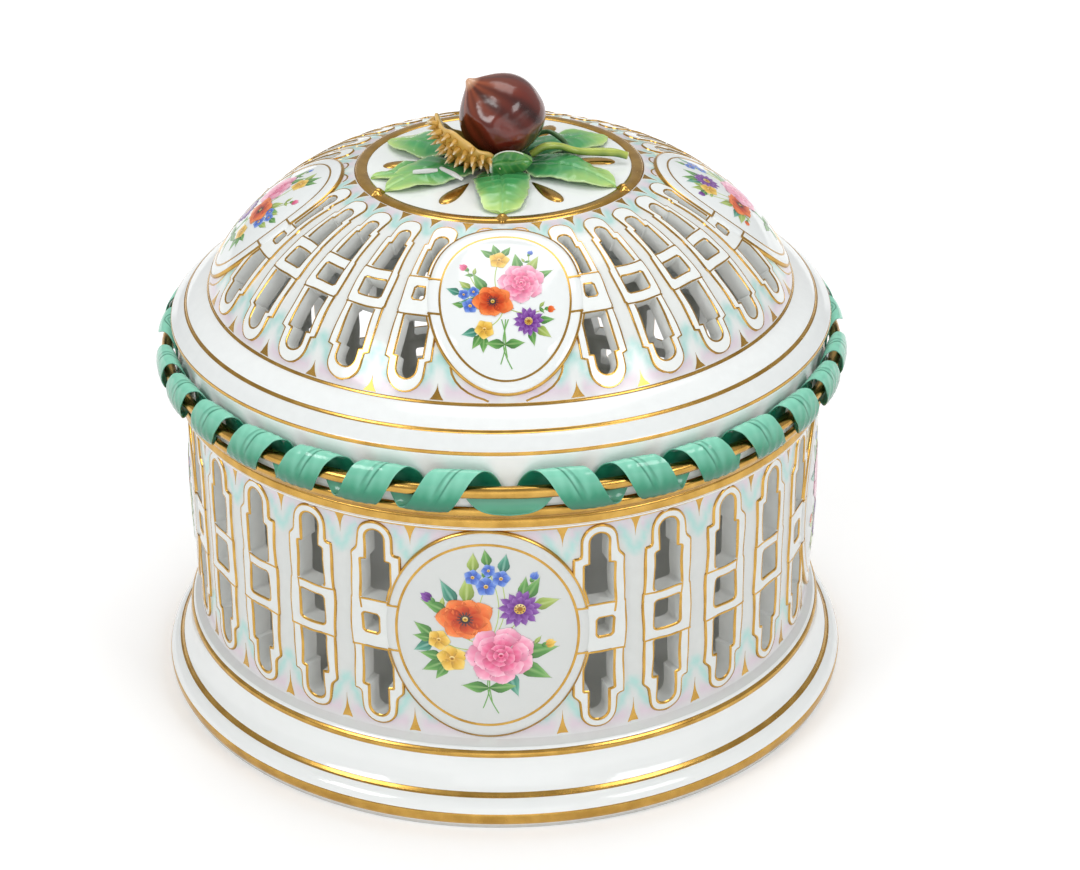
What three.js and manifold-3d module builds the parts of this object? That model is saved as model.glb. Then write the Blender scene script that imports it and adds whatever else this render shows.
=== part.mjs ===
// A lidded chestnut pot in pierced porcelain, in millimetres, +Z up.
// The origin is under the middle of the foot ring, and the front medallion faces -Y.
import * as THREE from 'three';
import Module from 'manifold-3d';
import { mergeVertices } from 'three/addons/utils/BufferGeometryUtils.js';

const wasm = await Module();
wasm.setup();

// Openwork plan: pitches divide the whole round, and each bay between two medallions has its
// windows in the middle, the outer two cut by the medallions
const medallionSides = ['front', 'right', 'back', 'left'];
const pitchCount = 28;
const windowsPerBay = 5;

// Clearances
const seatGap = 0.3;         // between curved pieces that touch
const flangeGap = 0.6;       // lid flange to pot rim, all round
const nutGap = 0.35;         // nut to what holds it
const flatness = 0.02;       // how far a cut face may be from flat
const sinkMargin = 4;        // how far a cutting tool passes the wall it cuts

// Pot wall, floor and rim
const drumRadius = 107;
const wallThickness = 6;
const drumHeight = 79;
const drumFlare = 2.6;
const drumFlareHeight = 2.4;
const floorLedge = 5;
const floorThickness = 5;
const floorSeat = 13;
const rimHeight = 5.5;
const rimFlare = 3.2;
const rimBand = 3.9;         // upright gilt band at the top of the rim

// Base plinth, whose radii are measured from the drum or from the base's own edge
const baseStand = 13;
const footInset = 2.2;
const footEdge = 1.3;
const footWidth = 11;
const torusMid = 5.5;
const torusTop = 11;
const torusInset = 5;
const torusBulge = 1;
const coveSag = 1.6;
const neckStand = 4.2;
const neckLine = 2;
const plinthHeight = 26;
const plinthRecess = 8;

// Windows of the drum
const drumWindowMargin = 3.7;   // from the ends of the openwork band
const drumWindowHead = 11.1;    // narrow arched end of an opening
const drumWindowFoot = 8.8;     // foot of an opening, from the band's middle
const drumArchHalf = 3.8;
const drumWideHalf = 5.8;
const drumKeyHalf = 5.2;
const drumKeyRise = 5.7;
const drumPartKeyRise = 3.4;
const drumPartKeyFrom = -0.9;

// Medallions, measured over their gold ring
const drumOvalHalf = 32.9;
const drumOvalMargin = 0.1;
const domeOvalHalf = 24.6;
const domeOvalMargin = 2.8;
const domeOvalDrop = 0.6;
const ovalBand = 4.4;
const ovalEdge = 1.3;
const ovalStep = 0.3;        // plaque over its band
const ovalCrown = 2.5;
const ovalStand = 0.55;      // back of a plaque over the round wall, whose facets it clears
const ovalLine = 0.8;

// Lid cornice and flange: radii measured from the rim, heights from the joint of pot and lid
const corniceTorus = 2.3;
const corniceTorusEdge = 1;
const corniceTorusHeight = 4.6;
const cavettoStand = 0.2;
const cavettoFrom = 5.8;
const cavettoSag = 1.6;
const upperLineStand = 1.4;
const upperLineHeight = 22.9;
const fasciaHeight = 2;
const fasciaInset = 1.4;
const secondLineInset = 3.9;
const secondLineHeight = 28;
const domeFootInset = 12.2;
const domeFootHeight = 33.8;
const corniceHollow = 18.9;  // upright inner wall of the cornice
const flangeDepth = 7;
const flangeThickness = 4;
const flangeTaper = 0.6;

// Dome and crown
const domeThickness = 5;
const domeBulge = 7;
const domeRise = 38.2;
const crownRadius = 48;
const crownRingWidth = 4.2;
const crownRingHeight = 2;
const crownRingEdge = 0.8;
const crownSeat = 3;         // ledge under the crown plate, measured inwards
const crownSeatDrop = 1;
const crownLedge = 4;
const plateThickness = 1.6;
const plateCrown = 1.2;
const lidTurn = THREE.MathUtils.degToRad(4);   // the lid stands a little round from the pot

// Windows of the dome, measured along its slope from the foot
const domeLowerFrom = 5.5;
const domeLowerHead = 7.5;
const domeLowerTo = 26.3;
const domeKeyFrom = 29.5;
const domeKeyTo = 36;
const domeUpperFrom = 39.5;
const domeUpperHead = 6.5;
const domeUpperMargin = 8.5;
const domeWideAngle = THREE.MathUtils.degToRad(3.3);
const domeLowerArchHalf = 3.6;
const domeUpperArchHalf = 2.6;
const domePartKeyAngle = THREE.MathUtils.degToRad(1.9);
const domePartKeyShift = THREE.MathUtils.degToRad(1.3);

// Rod and ribbon round the cavetto
const rodDiameter = 3.6;
const rodLift = 11.2;
const rodStand = 3.3;
const ribbonWidth = 10.5;
const ribbonThickness = 1;
const ribbonRise = 7.6;
const ribbonReach = 3.6;
const crossingsPerBay = 8;
const stepsPerTurn = 8;

// Leaves, rays and beads on the crown
const leafCount = 6;
const leafRoot = 11.5;
const leafHalf = 9;
const leafThickness = 1.1;
const leafArch = 2.2;
const rayMargin = 5.5;
const rayLength = 15;
const rayHalf = 2.4;
const rayHeight = 1.3;
const beadRadius = 1.7;
const beadPlaces = [-1, 0, 1, 3];   // leaves that have a bead at the tip, counted from the front

// Nut, husk, twig and their foot: places from the lid's axis, heights over the crown plate
const nutHalf = 14.2;
const nutRise = 13.6;
const nutShift = 1;
const nutLift = 17.6;
const nutAxis = new THREE.Vector3(-0.68, -0.1, 0.72).normalize();
const bossRadius = 4;
const bossHeight = 6;
const bossShift = new THREE.Vector2(6, 2.6);
const huskGap = 0.4;
const huskThickness = 1.5;
const huskShift = new THREE.Vector2(-5, -2);
const huskLift = 17.4;
const huskRimShift = -21;
const huskRimLift = 17;
const huskRim = new THREE.Vector3(-0.51, 0.06, -0.86).normalize();
const spikeLength = 3.4;
const spikeRadius = 1.15;
const spikeRings = [[0.42, 7], [0.72, 10], [1.0, 13], [1.27, 15]];   // lean and number round
const twigRadius = 1.5;
const twigPoints = [[10.5, -4.5, 5.4], [15, -4.5, 8], [20, -3, 7.4], [26, -1.5, 5],
  [33, -0.8, 4.3], [38, -0.6, 3.9], [42.5, -0.5, 2.4]];
const tendrilRadius = 1;
const tendrilPoints = [[10.5, 7.5, 5], [13, 8, 7.6], [17, 6.5, 8.8], [21, 4, 7], [23.5, 2.4, 4.4]];
const budDepth = 0.7;        // depth of the bud leaf for its width
const budStations = [[-3, 5.6, 1.2, 0.8, 0.3], [-0.5, 6.6, 3.6, 2, 0.4], [3.5, 7.2, 4.4, 2.6, 0.2],
  [7.5, 7.6, 3.8, 2.2, -0.8], [10.6, 7.8, 1.2, 1, -2.4]];   // along, up, half, rise, before the nut

// Heights and radii worked out from the dimensions above
const pitch = (2 * Math.PI) / pitchCount;
const turnedFacets = 1.5 * pitchCount;
const bay = (2 * Math.PI) / medallionSides.length;
const bandHalf = (drumHeight - drumFlareHeight) / 2;
const drumTop = plinthHeight + drumHeight;
const drumMiddle = drumTop - bandHalf;
const drumOvalRise = bandHalf - drumOvalMargin;
const potTop = drumTop + rimHeight;
const innerRadius = drumRadius - wallThickness;
const rimRadius = drumRadius + rimFlare;
const flangeInner = innerRadius - flangeGap - flangeThickness;
const rodRadius = rimRadius + rodStand;
const rodLevel = potTop + rodLift;
const domeFootRadius = rimRadius - domeFootInset;
const domeInner = domeFootRadius - domeThickness;
const domeFootLevel = potTop + domeFootHeight;
const crownLevel = domeFootLevel + domeRise;
const crownSeatLevel = crownLevel - crownSeatDrop;
const crownRingTop = crownSeatLevel + crownRingHeight;
const plateRadius = crownRadius - crownRingWidth - seatGap;
const plateLevel = crownSeatLevel + plateThickness;
const leafCheek = 1.3 * leafThickness;
const nutCentre = new THREE.Vector3(nutShift, 0, plateLevel + nutLift);
const huskSpan = nutHalf + huskGap;
const huskCentre = new THREE.Vector3(huskShift.x, huskShift.y, plateLevel + huskLift);
const huskRimPoint = new THREE.Vector3(huskRimShift, huskShift.y, plateLevel + huskRimLift);

// The dome's outer arc, and what is measured along it
const domeChord = Math.hypot(domeFootRadius - crownRadius, domeRise);
const domeArcRadius = (domeChord ** 2 / 4 + domeBulge ** 2) / (2 * domeBulge);
const domeLean = Math.atan2(domeRise, domeFootRadius - crownRadius);
const domeHalfAngle = Math.asin(domeChord / 2 / domeArcRadius);
const domeLength = 2 * domeHalfAngle * domeArcRadius;
const domeStartAngle = Math.PI / 2 - domeLean - domeHalfAngle;
const domeCentreRadius = domeFootRadius - domeArcRadius * Math.cos(domeStartAngle);
const domeCentreLevel = domeFootLevel - domeArcRadius * Math.sin(domeStartAngle);
const domeOvalAt = domeLength / 2 - domeOvalDrop;
const domeOvalRise = domeLength / 2 - domeOvalMargin;

const colours = {
  glaze: { color: 0xf2f5f5, roughness: 0.12, metalness: 0 },
  gold: { color: 0xb88c3c, roughness: 0.3, metalness: 1 },
  ribbon: { color: 0x6ec8a5, roughness: 0.2, metalness: 0 },
  leaf: { color: 0x5fb56a, roughness: 0.2, metalness: 0 },
  twig: { color: 0xb5bf4a, roughness: 0.25, metalness: 0 },
  tendril: { color: 0x2e4a28, roughness: 0.25, metalness: 0 },
  husk: { color: 0xb98a2c, roughness: 0.3, metalness: 0 },
  nut: { color: 0x5a1f16, roughness: 0.12, metalness: 0 },
};

const pot = new THREE.Group();
const lid = new THREE.Group();
lid.rotation.z = lidTurn;

function addPiece(body, name, geometry, finish) {
  const mesh = new THREE.Mesh(geometry, new THREE.MeshStandardMaterial(colours[finish]));
  mesh.name = name;
  body.add(mesh);
}

// Solids for cutting and joining
function toSolid(geometry) {
  const bare = geometry.clone();
  bare.deleteAttribute('normal');
  bare.deleteAttribute('uv');
  const merged = mergeVertices(bare);
  const vertProperties = merged.getAttribute('position').array;
  const triVerts = merged.index.array;
  return new wasm.Manifold(new wasm.Mesh({ numProp: 3, vertProperties, triVerts }));
}

function toGeometry(solid) {
  const { vertProperties, triVerts } = solid.getMesh();
  const geometry = new THREE.BufferGeometry();
  geometry.setAttribute('position', new THREE.Float32BufferAttribute(vertProperties, 3));
  geometry.setIndex([...triVerts]);
  return geometry;
}

// A ring or disc turned about Z from a profile of [radius, height] points, given from the top
// down the outside
function turned(profile, facets = turnedFacets) {
  const points = profile.map(([radius, height]) => new THREE.Vector2(radius, height)).reverse();
  return new THREE.LatheGeometry(points, facets).rotateX(Math.PI / 2);
}

// The inner points of a bowed stretch of such a profile, where a positive sag bulges outwards
function bow([radiusFrom, heightFrom], [radiusTo, heightTo], sag, steps) {
  const across = radiusTo - radiusFrom;
  const down = heightTo - heightFrom;
  const points = [];
  for (let i = 1; i < steps; i += 1) {
    const share = i / steps;
    const out = (4 * sag * share * (1 - share)) / Math.hypot(across, down);
    points.push([radiusFrom + across * share - down * out, heightFrom + down * share + across * out]);
  }
  return points;
}

// The points of one ring, one for each side, from the turn of each
function ringOf(sides, pointAt) {
  return Array.from({ length: sides }, (_, i) => pointAt((2 * Math.PI * i) / sides));
}

// A closed skin over a row of rings with as many points each, with both ends capped
function loft(rings) {
  const count = rings[0].length;
  const last = rings.length - 1;
  const middle = (ring) => ring.reduce((sum, point) => sum.add(point), new THREE.Vector3())
    .divideScalar(count);
  const points = [...rings.flat(), middle(rings[0]), middle(rings[last])];
  const index = [];
  for (let side = 0; side < count; side += 1) {
    const next = (side + 1) % count;
    for (let row = 0; row < last; row += 1) {
      const here = row * count;
      const after = here + count;
      index.push(here + side, here + next, after + next, here + side, after + next, after + side);
    }
    index.push(rings.length * count, next, side);
    index.push(rings.length * count + 1, last * count + side, last * count + next);
  }
  const geometry = new THREE.BufferGeometry().setFromPoints(points);
  geometry.setIndex(index);
  return geometry;
}

// A point at a place round the pot, counted from the front towards +X
function around(angle, radius, height) {
  return new THREE.Vector3(radius * Math.sin(angle), -radius * Math.cos(angle), height);
}

// Half an oval's width at a distance from its middle
function ovalWidth(half, rise, from) {
  return half * Math.sqrt(Math.max(0, 1 - (from / rise) ** 2));
}

// One opening of a window: square at its foot, narrower past the step and arched at its end.
// Its side towards a medallion keeps clear of the oval, whose edge cutEdge gives.
function openingOutline({ foot, step, end, wide, archHalf, cutEdge }) {
  const way = Math.sign(end - foot);
  const archFrom = end - way * Math.min(Math.abs(end - step), archHalf);
  const outline = [[wide(foot), foot], [wide(step), step], [archHalf, step]];
  const archSteps = 4;
  for (let i = 0; i <= archSteps; i += 1) {
    const turn = (Math.PI * i) / archSteps;
    outline.push([archHalf * Math.cos(turn), archFrom + (end - archFrom) * Math.sin(turn)]);
  }
  outline.push([-archHalf, step]);
  const sideSteps = cutEdge ? 3 : 1;
  for (let i = 0; i <= sideSteps; i += 1) {
    const at = step + ((foot - step) * i) / sideSteps;
    outline.push([Math.max(-wide(at), cutEdge ? cutEdge(at) : -Infinity), at]);
  }
  return outline;
}

// A cutter from an outline in a frame of three directions, from depth `from` to `to`
function cutter(outline, frame, from, to) {
  const shape = new THREE.Shape(outline.map(([x, y]) => new THREE.Vector2(x, y)));
  const geometry = new THREE.ExtrudeGeometry(shape, { depth: to - from, bevelEnabled: false });
  geometry.translate(0, 0, from);
  return toSolid(geometry.applyMatrix4(frame));
}

// The places of all windows round the pot. One that a medallion cuts has its angle from that
// medallion's middle, and is flipped where it stands before it.
function windowPlaces() {
  const places = [];
  for (let side = 0; side < medallionSides.length; side += 1) {
    for (let i = 0; i < windowsPerBay; i += 1) {
      const fromMiddle = (i - (windowsPerBay - 1) / 2) * pitch;
      const isOuter = i === 0 || i === windowsPerBay - 1;
      places.push({
        angle: (side + 0.5) * bay + fromMiddle,
        fromOval: isOuter ? bay / 2 - Math.abs(fromMiddle) : null,
        flip: isOuter && fromMiddle > 0,
      });
    }
  }
  return places;
}

// Base plinth
function basePlinth() {
  const baseRadius = drumRadius + baseStand;
  const footInner = baseRadius - footInset - footWidth;
  const neck = [drumRadius + neckStand, plinthHeight - neckLine];
  const torusUpper = [baseRadius - torusInset, torusTop];
  const torusOuter = [baseRadius, torusMid];
  return turned([
    [innerRadius, plinthHeight], [drumRadius + drumFlare, plinthHeight],
    neck, ...bow(neck, torusUpper, -coveSag, 3),
    torusUpper, ...bow(torusUpper, torusOuter, torusBulge, 2), torusOuter,
    [baseRadius - footInset, footEdge], [baseRadius - footInset, 0], [footInner, 0],
    [footInner, plinthRecess], [innerRadius - floorLedge, plinthRecess],
    [innerRadius - floorLedge, floorSeat], [innerRadius, floorSeat], [innerRadius, plinthHeight],
  ]);
}

function potFloor() {
  const radius = innerRadius - seatGap;
  const top = floorSeat + floorThickness;
  return turned([[0, top], [radius, top], [radius, floorSeat], [0, floorSeat]]);
}

// Drum wall with its windows
function drumCutters({ angle, fromOval, flip }) {
  const side = flip ? -1 : 1;
  const frame = new THREE.Matrix4()
    .makeBasis(around(angle + Math.PI / 2, 1, 0), new THREE.Vector3(0, 0, 1), around(angle, 1, 0))
    .setPosition(0, 0, drumMiddle);
  const edge = (at) => ovalWidth(drumOvalHalf + ovalLine, drumOvalRise + ovalLine, at)
    - fromOval * drumRadius;
  const end = bandHalf - drumWindowMargin;
  const upper = openingOutline({
    foot: drumWindowFoot,
    step: end - drumWindowHead,
    end,
    wide: () => drumWideHalf,
    archHalf: drumArchHalf,
    cutEdge: fromOval === null ? null : edge,
  });
  const lower = upper.map(([x, y]) => [x, -y]);
  const rise = fromOval === null ? drumKeyRise : drumPartKeyRise;
  const keyFrom = fromOval === null ? -drumKeyHalf : drumPartKeyFrom;
  const key = [[keyFrom, -rise], [drumKeyHalf, -rise], [drumKeyHalf, rise], [keyFrom, rise]];
  return [upper, lower, key].map((outline) => cutter(
    outline.map(([x, y]) => [side * x, y]),
    frame,
    innerRadius - sinkMargin,
    drumRadius + sinkMargin,
  ));
}

function cutWindows(blank, cutters) {
  const cut = windowPlaces().flatMap(cutters).reduce((solid, tool) => solid.subtract(tool), blank);
  return toGeometry(cut.asOriginal().simplify(flatness));
}

function piercedWall() {
  const profile = [
    [innerRadius, drumTop], [drumRadius, drumTop], [drumRadius, plinthHeight + drumFlareHeight],
    [drumRadius + drumFlare, plinthHeight], [innerRadius, plinthHeight], [innerRadius, drumTop],
  ];
  return cutWindows(toSolid(turned(profile, pitchCount)), drumCutters);
}

function potRim() {
  return turned([
    [innerRadius, potTop], [rimRadius, potTop], [rimRadius, potTop - rimBand],
    [drumRadius, drumTop], [innerRadius, drumTop], [innerRadius, potTop],
  ]);
}

// A crowned oval plaque: `place` turns a point of the oval and its depth into a point in space
function ovalPlaque(half, rise, place) {
  const inner = 1 - ovalBand / half;
  const crownAt = (share) => ovalEdge + ovalStep + (ovalCrown - ovalEdge - ovalStep)
    * (1 - (share / inner) ** 2);
  const rows = [
    [inner / 2, crownAt(inner / 2)], [inner, crownAt(inner)], [inner + ovalStep / half, ovalEdge],
    [1, ovalEdge], [1, ovalStand], [0.7, ovalStand], [0.35, ovalStand],
  ];
  return loft(rows.map(([share, depth]) => ringOf(16, (turn) => place(
    half * share * Math.cos(-turn),
    rise * share * Math.sin(-turn),
    depth,
  ))));
}

// Lid cornice and flange
function lidCornice() {
  const torusRadius = rimRadius + corniceTorus;
  const cavettoTop = [rimRadius + upperLineStand, potTop + upperLineHeight];
  const cavettoFoot = [rimRadius + cavettoStand, potTop + cavettoFrom];
  return turned([
    [domeInner, domeFootLevel], [domeFootRadius, domeFootLevel],
    [rimRadius - secondLineInset, potTop + secondLineHeight],
    [cavettoTop[0] - fasciaInset, cavettoTop[1] + fasciaHeight],
    cavettoTop, ...bow(cavettoTop, cavettoFoot, -cavettoSag, 4), cavettoFoot,
    [torusRadius, potTop + corniceTorusHeight / 2], [torusRadius - corniceTorusEdge, potTop],
    [flangeInner, potTop], [flangeInner, potTop + corniceHollow], [domeInner, domeFootLevel],
  ]);
}

function lidFlange() {
  const outer = innerRadius - flangeGap;
  return turned([
    [flangeInner, potTop], [outer, potTop], [outer - flangeTaper, potTop - flangeDepth],
    [flangeInner, potTop - flangeDepth], [flangeInner, potTop],
  ]);
}

// A point of the dome's profile, by the distance along its slope from the foot
function domeAt(along, out = 0) {
  const angle = domeStartAngle + along / domeArcRadius;
  return {
    radius: domeCentreRadius + (domeArcRadius + out) * Math.cos(angle),
    height: domeCentreLevel + (domeArcRadius + out) * Math.sin(angle),
    angle,
  };
}

function domeBlank() {
  const rows = 4;
  const outer = [[domeFootRadius, domeFootLevel]];
  const inner = [[domeInner, domeFootLevel]];
  for (let i = 1; i < rows; i += 1) {
    const front = domeAt((domeLength * i) / rows);
    const back = domeAt((domeLength * i) / rows, -domeThickness);
    outer.unshift([front.radius, front.height]);
    inner.push([back.radius, back.height]);
  }
  const ledge = crownRadius - crownRingWidth - crownSeat;
  const top = [[ledge, crownSeatLevel], [crownRadius, crownSeatLevel]];
  const profile = [...top, ...outer, ...inner, [ledge, crownLevel - crownLedge], top[0]];
  return toSolid(turned(profile, pitchCount));
}

function domeCutters({ angle, fromOval, flip }) {
  const side = flip ? -1 : 1;
  const middle = domeAt(domeOvalAt);
  const slope = around(angle, -Math.sin(middle.angle), Math.cos(middle.angle));
  const normal = around(angle, Math.cos(middle.angle), Math.sin(middle.angle));
  const frame = new THREE.Matrix4().makeBasis(around(angle + Math.PI / 2, 1, 0), slope, normal)
    .setPosition(around(angle, middle.radius, middle.height));
  const edge = (at) => ovalWidth(domeOvalHalf + ovalLine, domeOvalRise + ovalLine, at - domeOvalAt)
    - fromOval * domeAt(at).radius;
  const shared = {
    wide: (at) => domeWideAngle * domeAt(at).radius,
    cutEdge: fromOval === null ? null : edge,
  };
  const lower = openingOutline({
    ...shared,
    foot: domeLowerTo,
    step: domeLowerFrom + domeLowerHead,
    end: domeLowerFrom,
    archHalf: domeLowerArchHalf,
  });
  const upperTo = domeLength - domeUpperMargin;
  const upper = openingOutline({
    ...shared,
    foot: domeUpperFrom,
    step: upperTo - domeUpperHead,
    end: upperTo,
    archHalf: domeUpperArchHalf,
  });
  const keyHalf = fromOval === null ? domeWideAngle : domePartKeyAngle;
  const keyShift = fromOval === null ? 0 : domePartKeyShift;
  const key = [[-1, domeKeyFrom], [1, domeKeyFrom], [1, domeKeyTo], [-1, domeKeyTo]]
    .map(([x, at]) => [(keyShift + x * keyHalf) * domeAt(at).radius, at]);
  const flatten = ([x, at]) => {
    const { radius, height } = domeAt(at);
    const turn = (side * x) / radius;
    const inward = radius * Math.cos(turn) - middle.radius;
    const up = height - middle.height;
    return [radius * Math.sin(turn), up * Math.cos(middle.angle) - inward * Math.sin(middle.angle)];
  };
  return [lower, upper, key].map((outline) => cutter(
    outline.map(flatten),
    frame,
    -domeThickness - 3 * sinkMargin,
    sinkMargin,
  ));
}

function piercedDome() {
  return cutWindows(domeBlank(), domeCutters);
}

// Crown
function plateHeight(radius) {
  return plateLevel + plateCrown * (1 - (radius / plateRadius) ** 2);
}

function crownPlate() {
  const shares = [0, 0.6, 1];
  const top = shares.map((share) => [share * plateRadius, plateHeight(share * plateRadius)]);
  return turned([...top, [plateRadius, crownSeatLevel], [0, crownSeatLevel]]);
}

function crownRing() {
  const inner = crownRadius - crownRingWidth;
  return turned([
    [inner, crownRingTop], [crownRadius - crownRingEdge, crownRingTop],
    [crownRadius, crownSeatLevel], [inner, crownSeatLevel], [inner, crownRingTop],
  ]);
}

// Rod and ribbon
function rimRod() {
  const half = rodDiameter / 2;
  const ring = ringOf(6, (turn) => [rodRadius + half * Math.cos(-turn), rodLevel + half * Math.sin(-turn)]);
  return turned([...ring, ring[0]]);
}

// The ribbon's run through one bay, from under the rod at the bay's start, up behind it, over it
// and down in front once for each crossing, to the top of the rod at the bay's end
function ribbonRun() {
  const turnPitch = bay / crossingsPerBay;
  const turns = crossingsPerBay - 0.5;
  const lead = (bay - turns * turnPitch) / 2;
  const run = [];
  for (let i = 0; i <= turns * stepsPerTurn; i += 1) {
    const turn = (2 * Math.PI * i) / stepsPerTurn;
    run.push({ angle: lead + (turnPitch * i) / stepsPerTurn, turn });
  }
  return run;
}

function ribbonPoint(angle, turn, out) {
  const radius = rodRadius - (ribbonReach + out) * Math.sin(turn);
  return around(angle, radius, rodLevel - (ribbonRise + out) * Math.cos(turn));
}

function ribbonRings(quarter) {
  const mirrored = quarter % 2 === 1;
  const start = (quarter + (mirrored ? 1 : 0)) * bay;
  const side = mirrored ? -1 : 1;
  const half = ribbonWidth / 2 / rodRadius;
  const corners = [[-half, 0], [half, 0], [half, -ribbonThickness], [-half, -ribbonThickness]];
  const rings = ribbonRun().map(({ angle, turn }) => corners
    .map(([across, out]) => ribbonPoint(start + side * (angle + across), turn, out)));
  return mirrored ? rings : rings.map((ring) => ring.reverse());
}

// The least gap of a ribbon to itself, on the corners of loops at least half a turn apart
function ribbonSelfGap() {
  const rings = ribbonRings(0);
  let least = Infinity;
  rings.forEach((ring, i) => rings.slice(i + stepsPerTurn / 2).forEach((other) => {
    for (const a of ring) for (const b of other) least = Math.min(least, a.distanceTo(b));
  }));
  return least;
}

// Leaves, rays and beads
function leaf(angle) {
  const halves = [0.3, 0.62, 0.88, 0.86, 1, 0.9, 0.78, 0.5, 0.16];   // shares of the half width
  const edge = leafThickness * 0.8;
  return loft(halves.map((share, i) => {
    const along = i / (halves.length - 1);
    const radius = leafRoot + (plateRadius - leafRoot) * along;
    const half = leafHalf * share;
    const lift = plateHeight(radius) + seatGap + leafArch * Math.sin(Math.PI * along);
    const section = [[-half, 0], [half, 0], [half, edge], [half / 2, leafCheek],
      [0, leafThickness], [-half / 2, leafCheek], [-half, edge]];
    return section.map(([across, up]) => around(angle, radius, lift + up)
      .add(around(angle + Math.PI / 2, across, 0)));
  }));
}

function ray(angle) {
  const shares = [[0, 0.25], [0.3, 0.75], [0.65, 1], [0.9, 0.8], [1, 0.3]];   // along, size
  const section = [[1, 0], [0.6, 0.7], [0, 1], [-0.6, 0.7], [-1, 0]];
  return loft(shares.map(([along, share]) => {
    const radius = plateRadius - rayMargin - rayLength * (1 - along);
    const foot = plateHeight(radius) + seatGap;
    return section.map(([across, up]) => around(angle, radius, foot + up * share * rayHeight)
      .add(around(angle + Math.PI / 2, across * share * rayHalf, 0)));
  }));
}

function bead(angle) {
  const shoulder = beadRadius * Math.SQRT1_2;
  const place = around(angle, crownRadius - crownRingWidth / 2, crownRingTop);
  return turned([[0, beadRadius], [shoulder, shoulder], [beadRadius, 0], [0, 0]], 10)
    .translate(place.x, place.y, place.z);
}

// Nut, with its axis leaning towards its pointed tip
function nut() {
  const profile = [[-0.92, 0.35], [-0.8, 0.66], [-0.42, 0.93], [0.02, 1], [0.42, 0.9],
    [0.76, 0.62], [0.98, 0.3], [1.2, 0.06]];   // along, radius
  const across = new THREE.Vector3(0, 1, 0).cross(nutAxis).normalize();
  const deep = nutAxis.clone().cross(across);
  return loft(profile.map(([along, share]) => ringOf(14, (turn) => nutCentre.clone()
    .addScaledVector(nutAxis, along * nutRise)
    .addScaledVector(across, share * nutHalf * Math.cos(turn))
    .addScaledVector(deep, share * nutHalf * Math.sin(turn)))));
}

// Takes the room of the nut and its gap out of a solid
function seatNut(solid) {
  const grown = 1 + nutGap / nutRise;
  const socket = nut().translate(-nutCentre.x, -nutCentre.y, -nutCentre.z).scale(grown, grown, grown)
    .translate(nutCentre.x, nutCentre.y, nutCentre.z);
  return toGeometry(solid.subtract(toSolid(socket)).asOriginal().simplify(flatness));
}

// The level that a spike's tip keeps above, over the plate and the leaves
function spikeFloor(point) {
  const radius = Math.hypot(point.x, point.y);
  const clear = plateHeight(radius) + 2 * seatGap;
  return radius < leafRoot - spikeRadius ? clear : clear + leafArch + leafCheek;
}

// Spiny half husk: part of a round shell under the nut, cut off by a leaning rim plane
function husk() {
  const ball = (radius) => toSolid(new THREE.IcosahedronGeometry(radius, 3)
    .translate(huskCentre.x, huskCentre.y, huskCentre.z));
  const shell = ball(huskSpan + huskThickness).subtract(ball(huskSpan));
  const reach = 4 * huskSpan;
  const towards = new THREE.Quaternion().setFromUnitVectors(new THREE.Vector3(0, 0, 1), huskRim);
  const keep = new THREE.BoxGeometry(reach, reach, reach).translate(0, 0, reach / 2)
    .applyQuaternion(towards).translate(huskRimPoint.x, huskRimPoint.y, huskRimPoint.z);
  let bowl = shell.intersect(toSolid(keep));
  for (const [lean, count] of spikeRings) {
    for (let i = 0; i < count; i += 1) {
      const turn = (2 * Math.PI * (i + lean)) / count;
      const out = Math.sin(lean);
      const way = new THREE.Vector3(out * Math.cos(turn), out * Math.sin(turn), Math.cos(lean))
        .applyQuaternion(towards);
      const root = huskCentre.clone().addScaledVector(way, huskSpan + huskThickness / 2);
      const tip = root.clone().addScaledVector(way, spikeLength);
      const underRim = root.clone().sub(huskRimPoint).dot(huskRim);
      if (underRim < spikeRadius || tip.z < spikeFloor(tip)) continue;
      const stand = new THREE.Quaternion().setFromUnitVectors(new THREE.Vector3(0, 1, 0), way);
      const cone = new THREE.ConeGeometry(spikeRadius, spikeLength, 5)
        .translate(0, spikeLength / 2, 0).applyQuaternion(stand).translate(root.x, root.y, root.z);
      bowl = bowl.add(toSolid(cone));
    }
  }
  return seatNut(bowl);
}

// Stem boss that carries the nut, hollowed to the nut's round
function stemBoss() {
  const foot = plateLevel + plateCrown + seatGap;
  const post = loft([0, bossHeight].map((up) => ringOf(12, (turn) => new THREE.Vector3(
    bossShift.x + bossRadius * Math.cos(turn),
    bossShift.y + bossRadius * Math.sin(turn),
    foot + up,
  ))));
  return seatNut(toSolid(post));
}

// A round stem along chosen points
function stem(points, radius) {
  const curve = new THREE.CatmullRomCurve3(points
    .map(([x, y, up]) => new THREE.Vector3(x, y, plateLevel + up)));
  const section = new THREE.Shape(ringOf(6, (turn) => new THREE.Vector2(
    radius * Math.cos(turn),
    radius * Math.sin(turn),
  )));
  const steps = 2 * (points.length + 1);
  return new THREE.ExtrudeGeometry(section, { steps, extrudePath: curve, bevelEnabled: false });
}

// Crumpled leaf under the nut
function budLeaf() {
  const rings = budStations.map(([along, up, half, rise, before]) => {
    const section = [[-half, -rise], [-half * 0.2, -rise], [half, -rise * 0.1], [half * 0.6, rise],
      [-half * 0.2, rise * 0.7], [-half * 1.1, rise * 0.3]];
    const middle = new THREE.Vector3(along, -nutHalf - before, plateLevel + up);
    return section.map(([deep, high]) => new THREE.Vector3(0, deep * budDepth, high).add(middle));
  });
  return seatNut(toSolid(loft(rings)));
}

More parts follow.
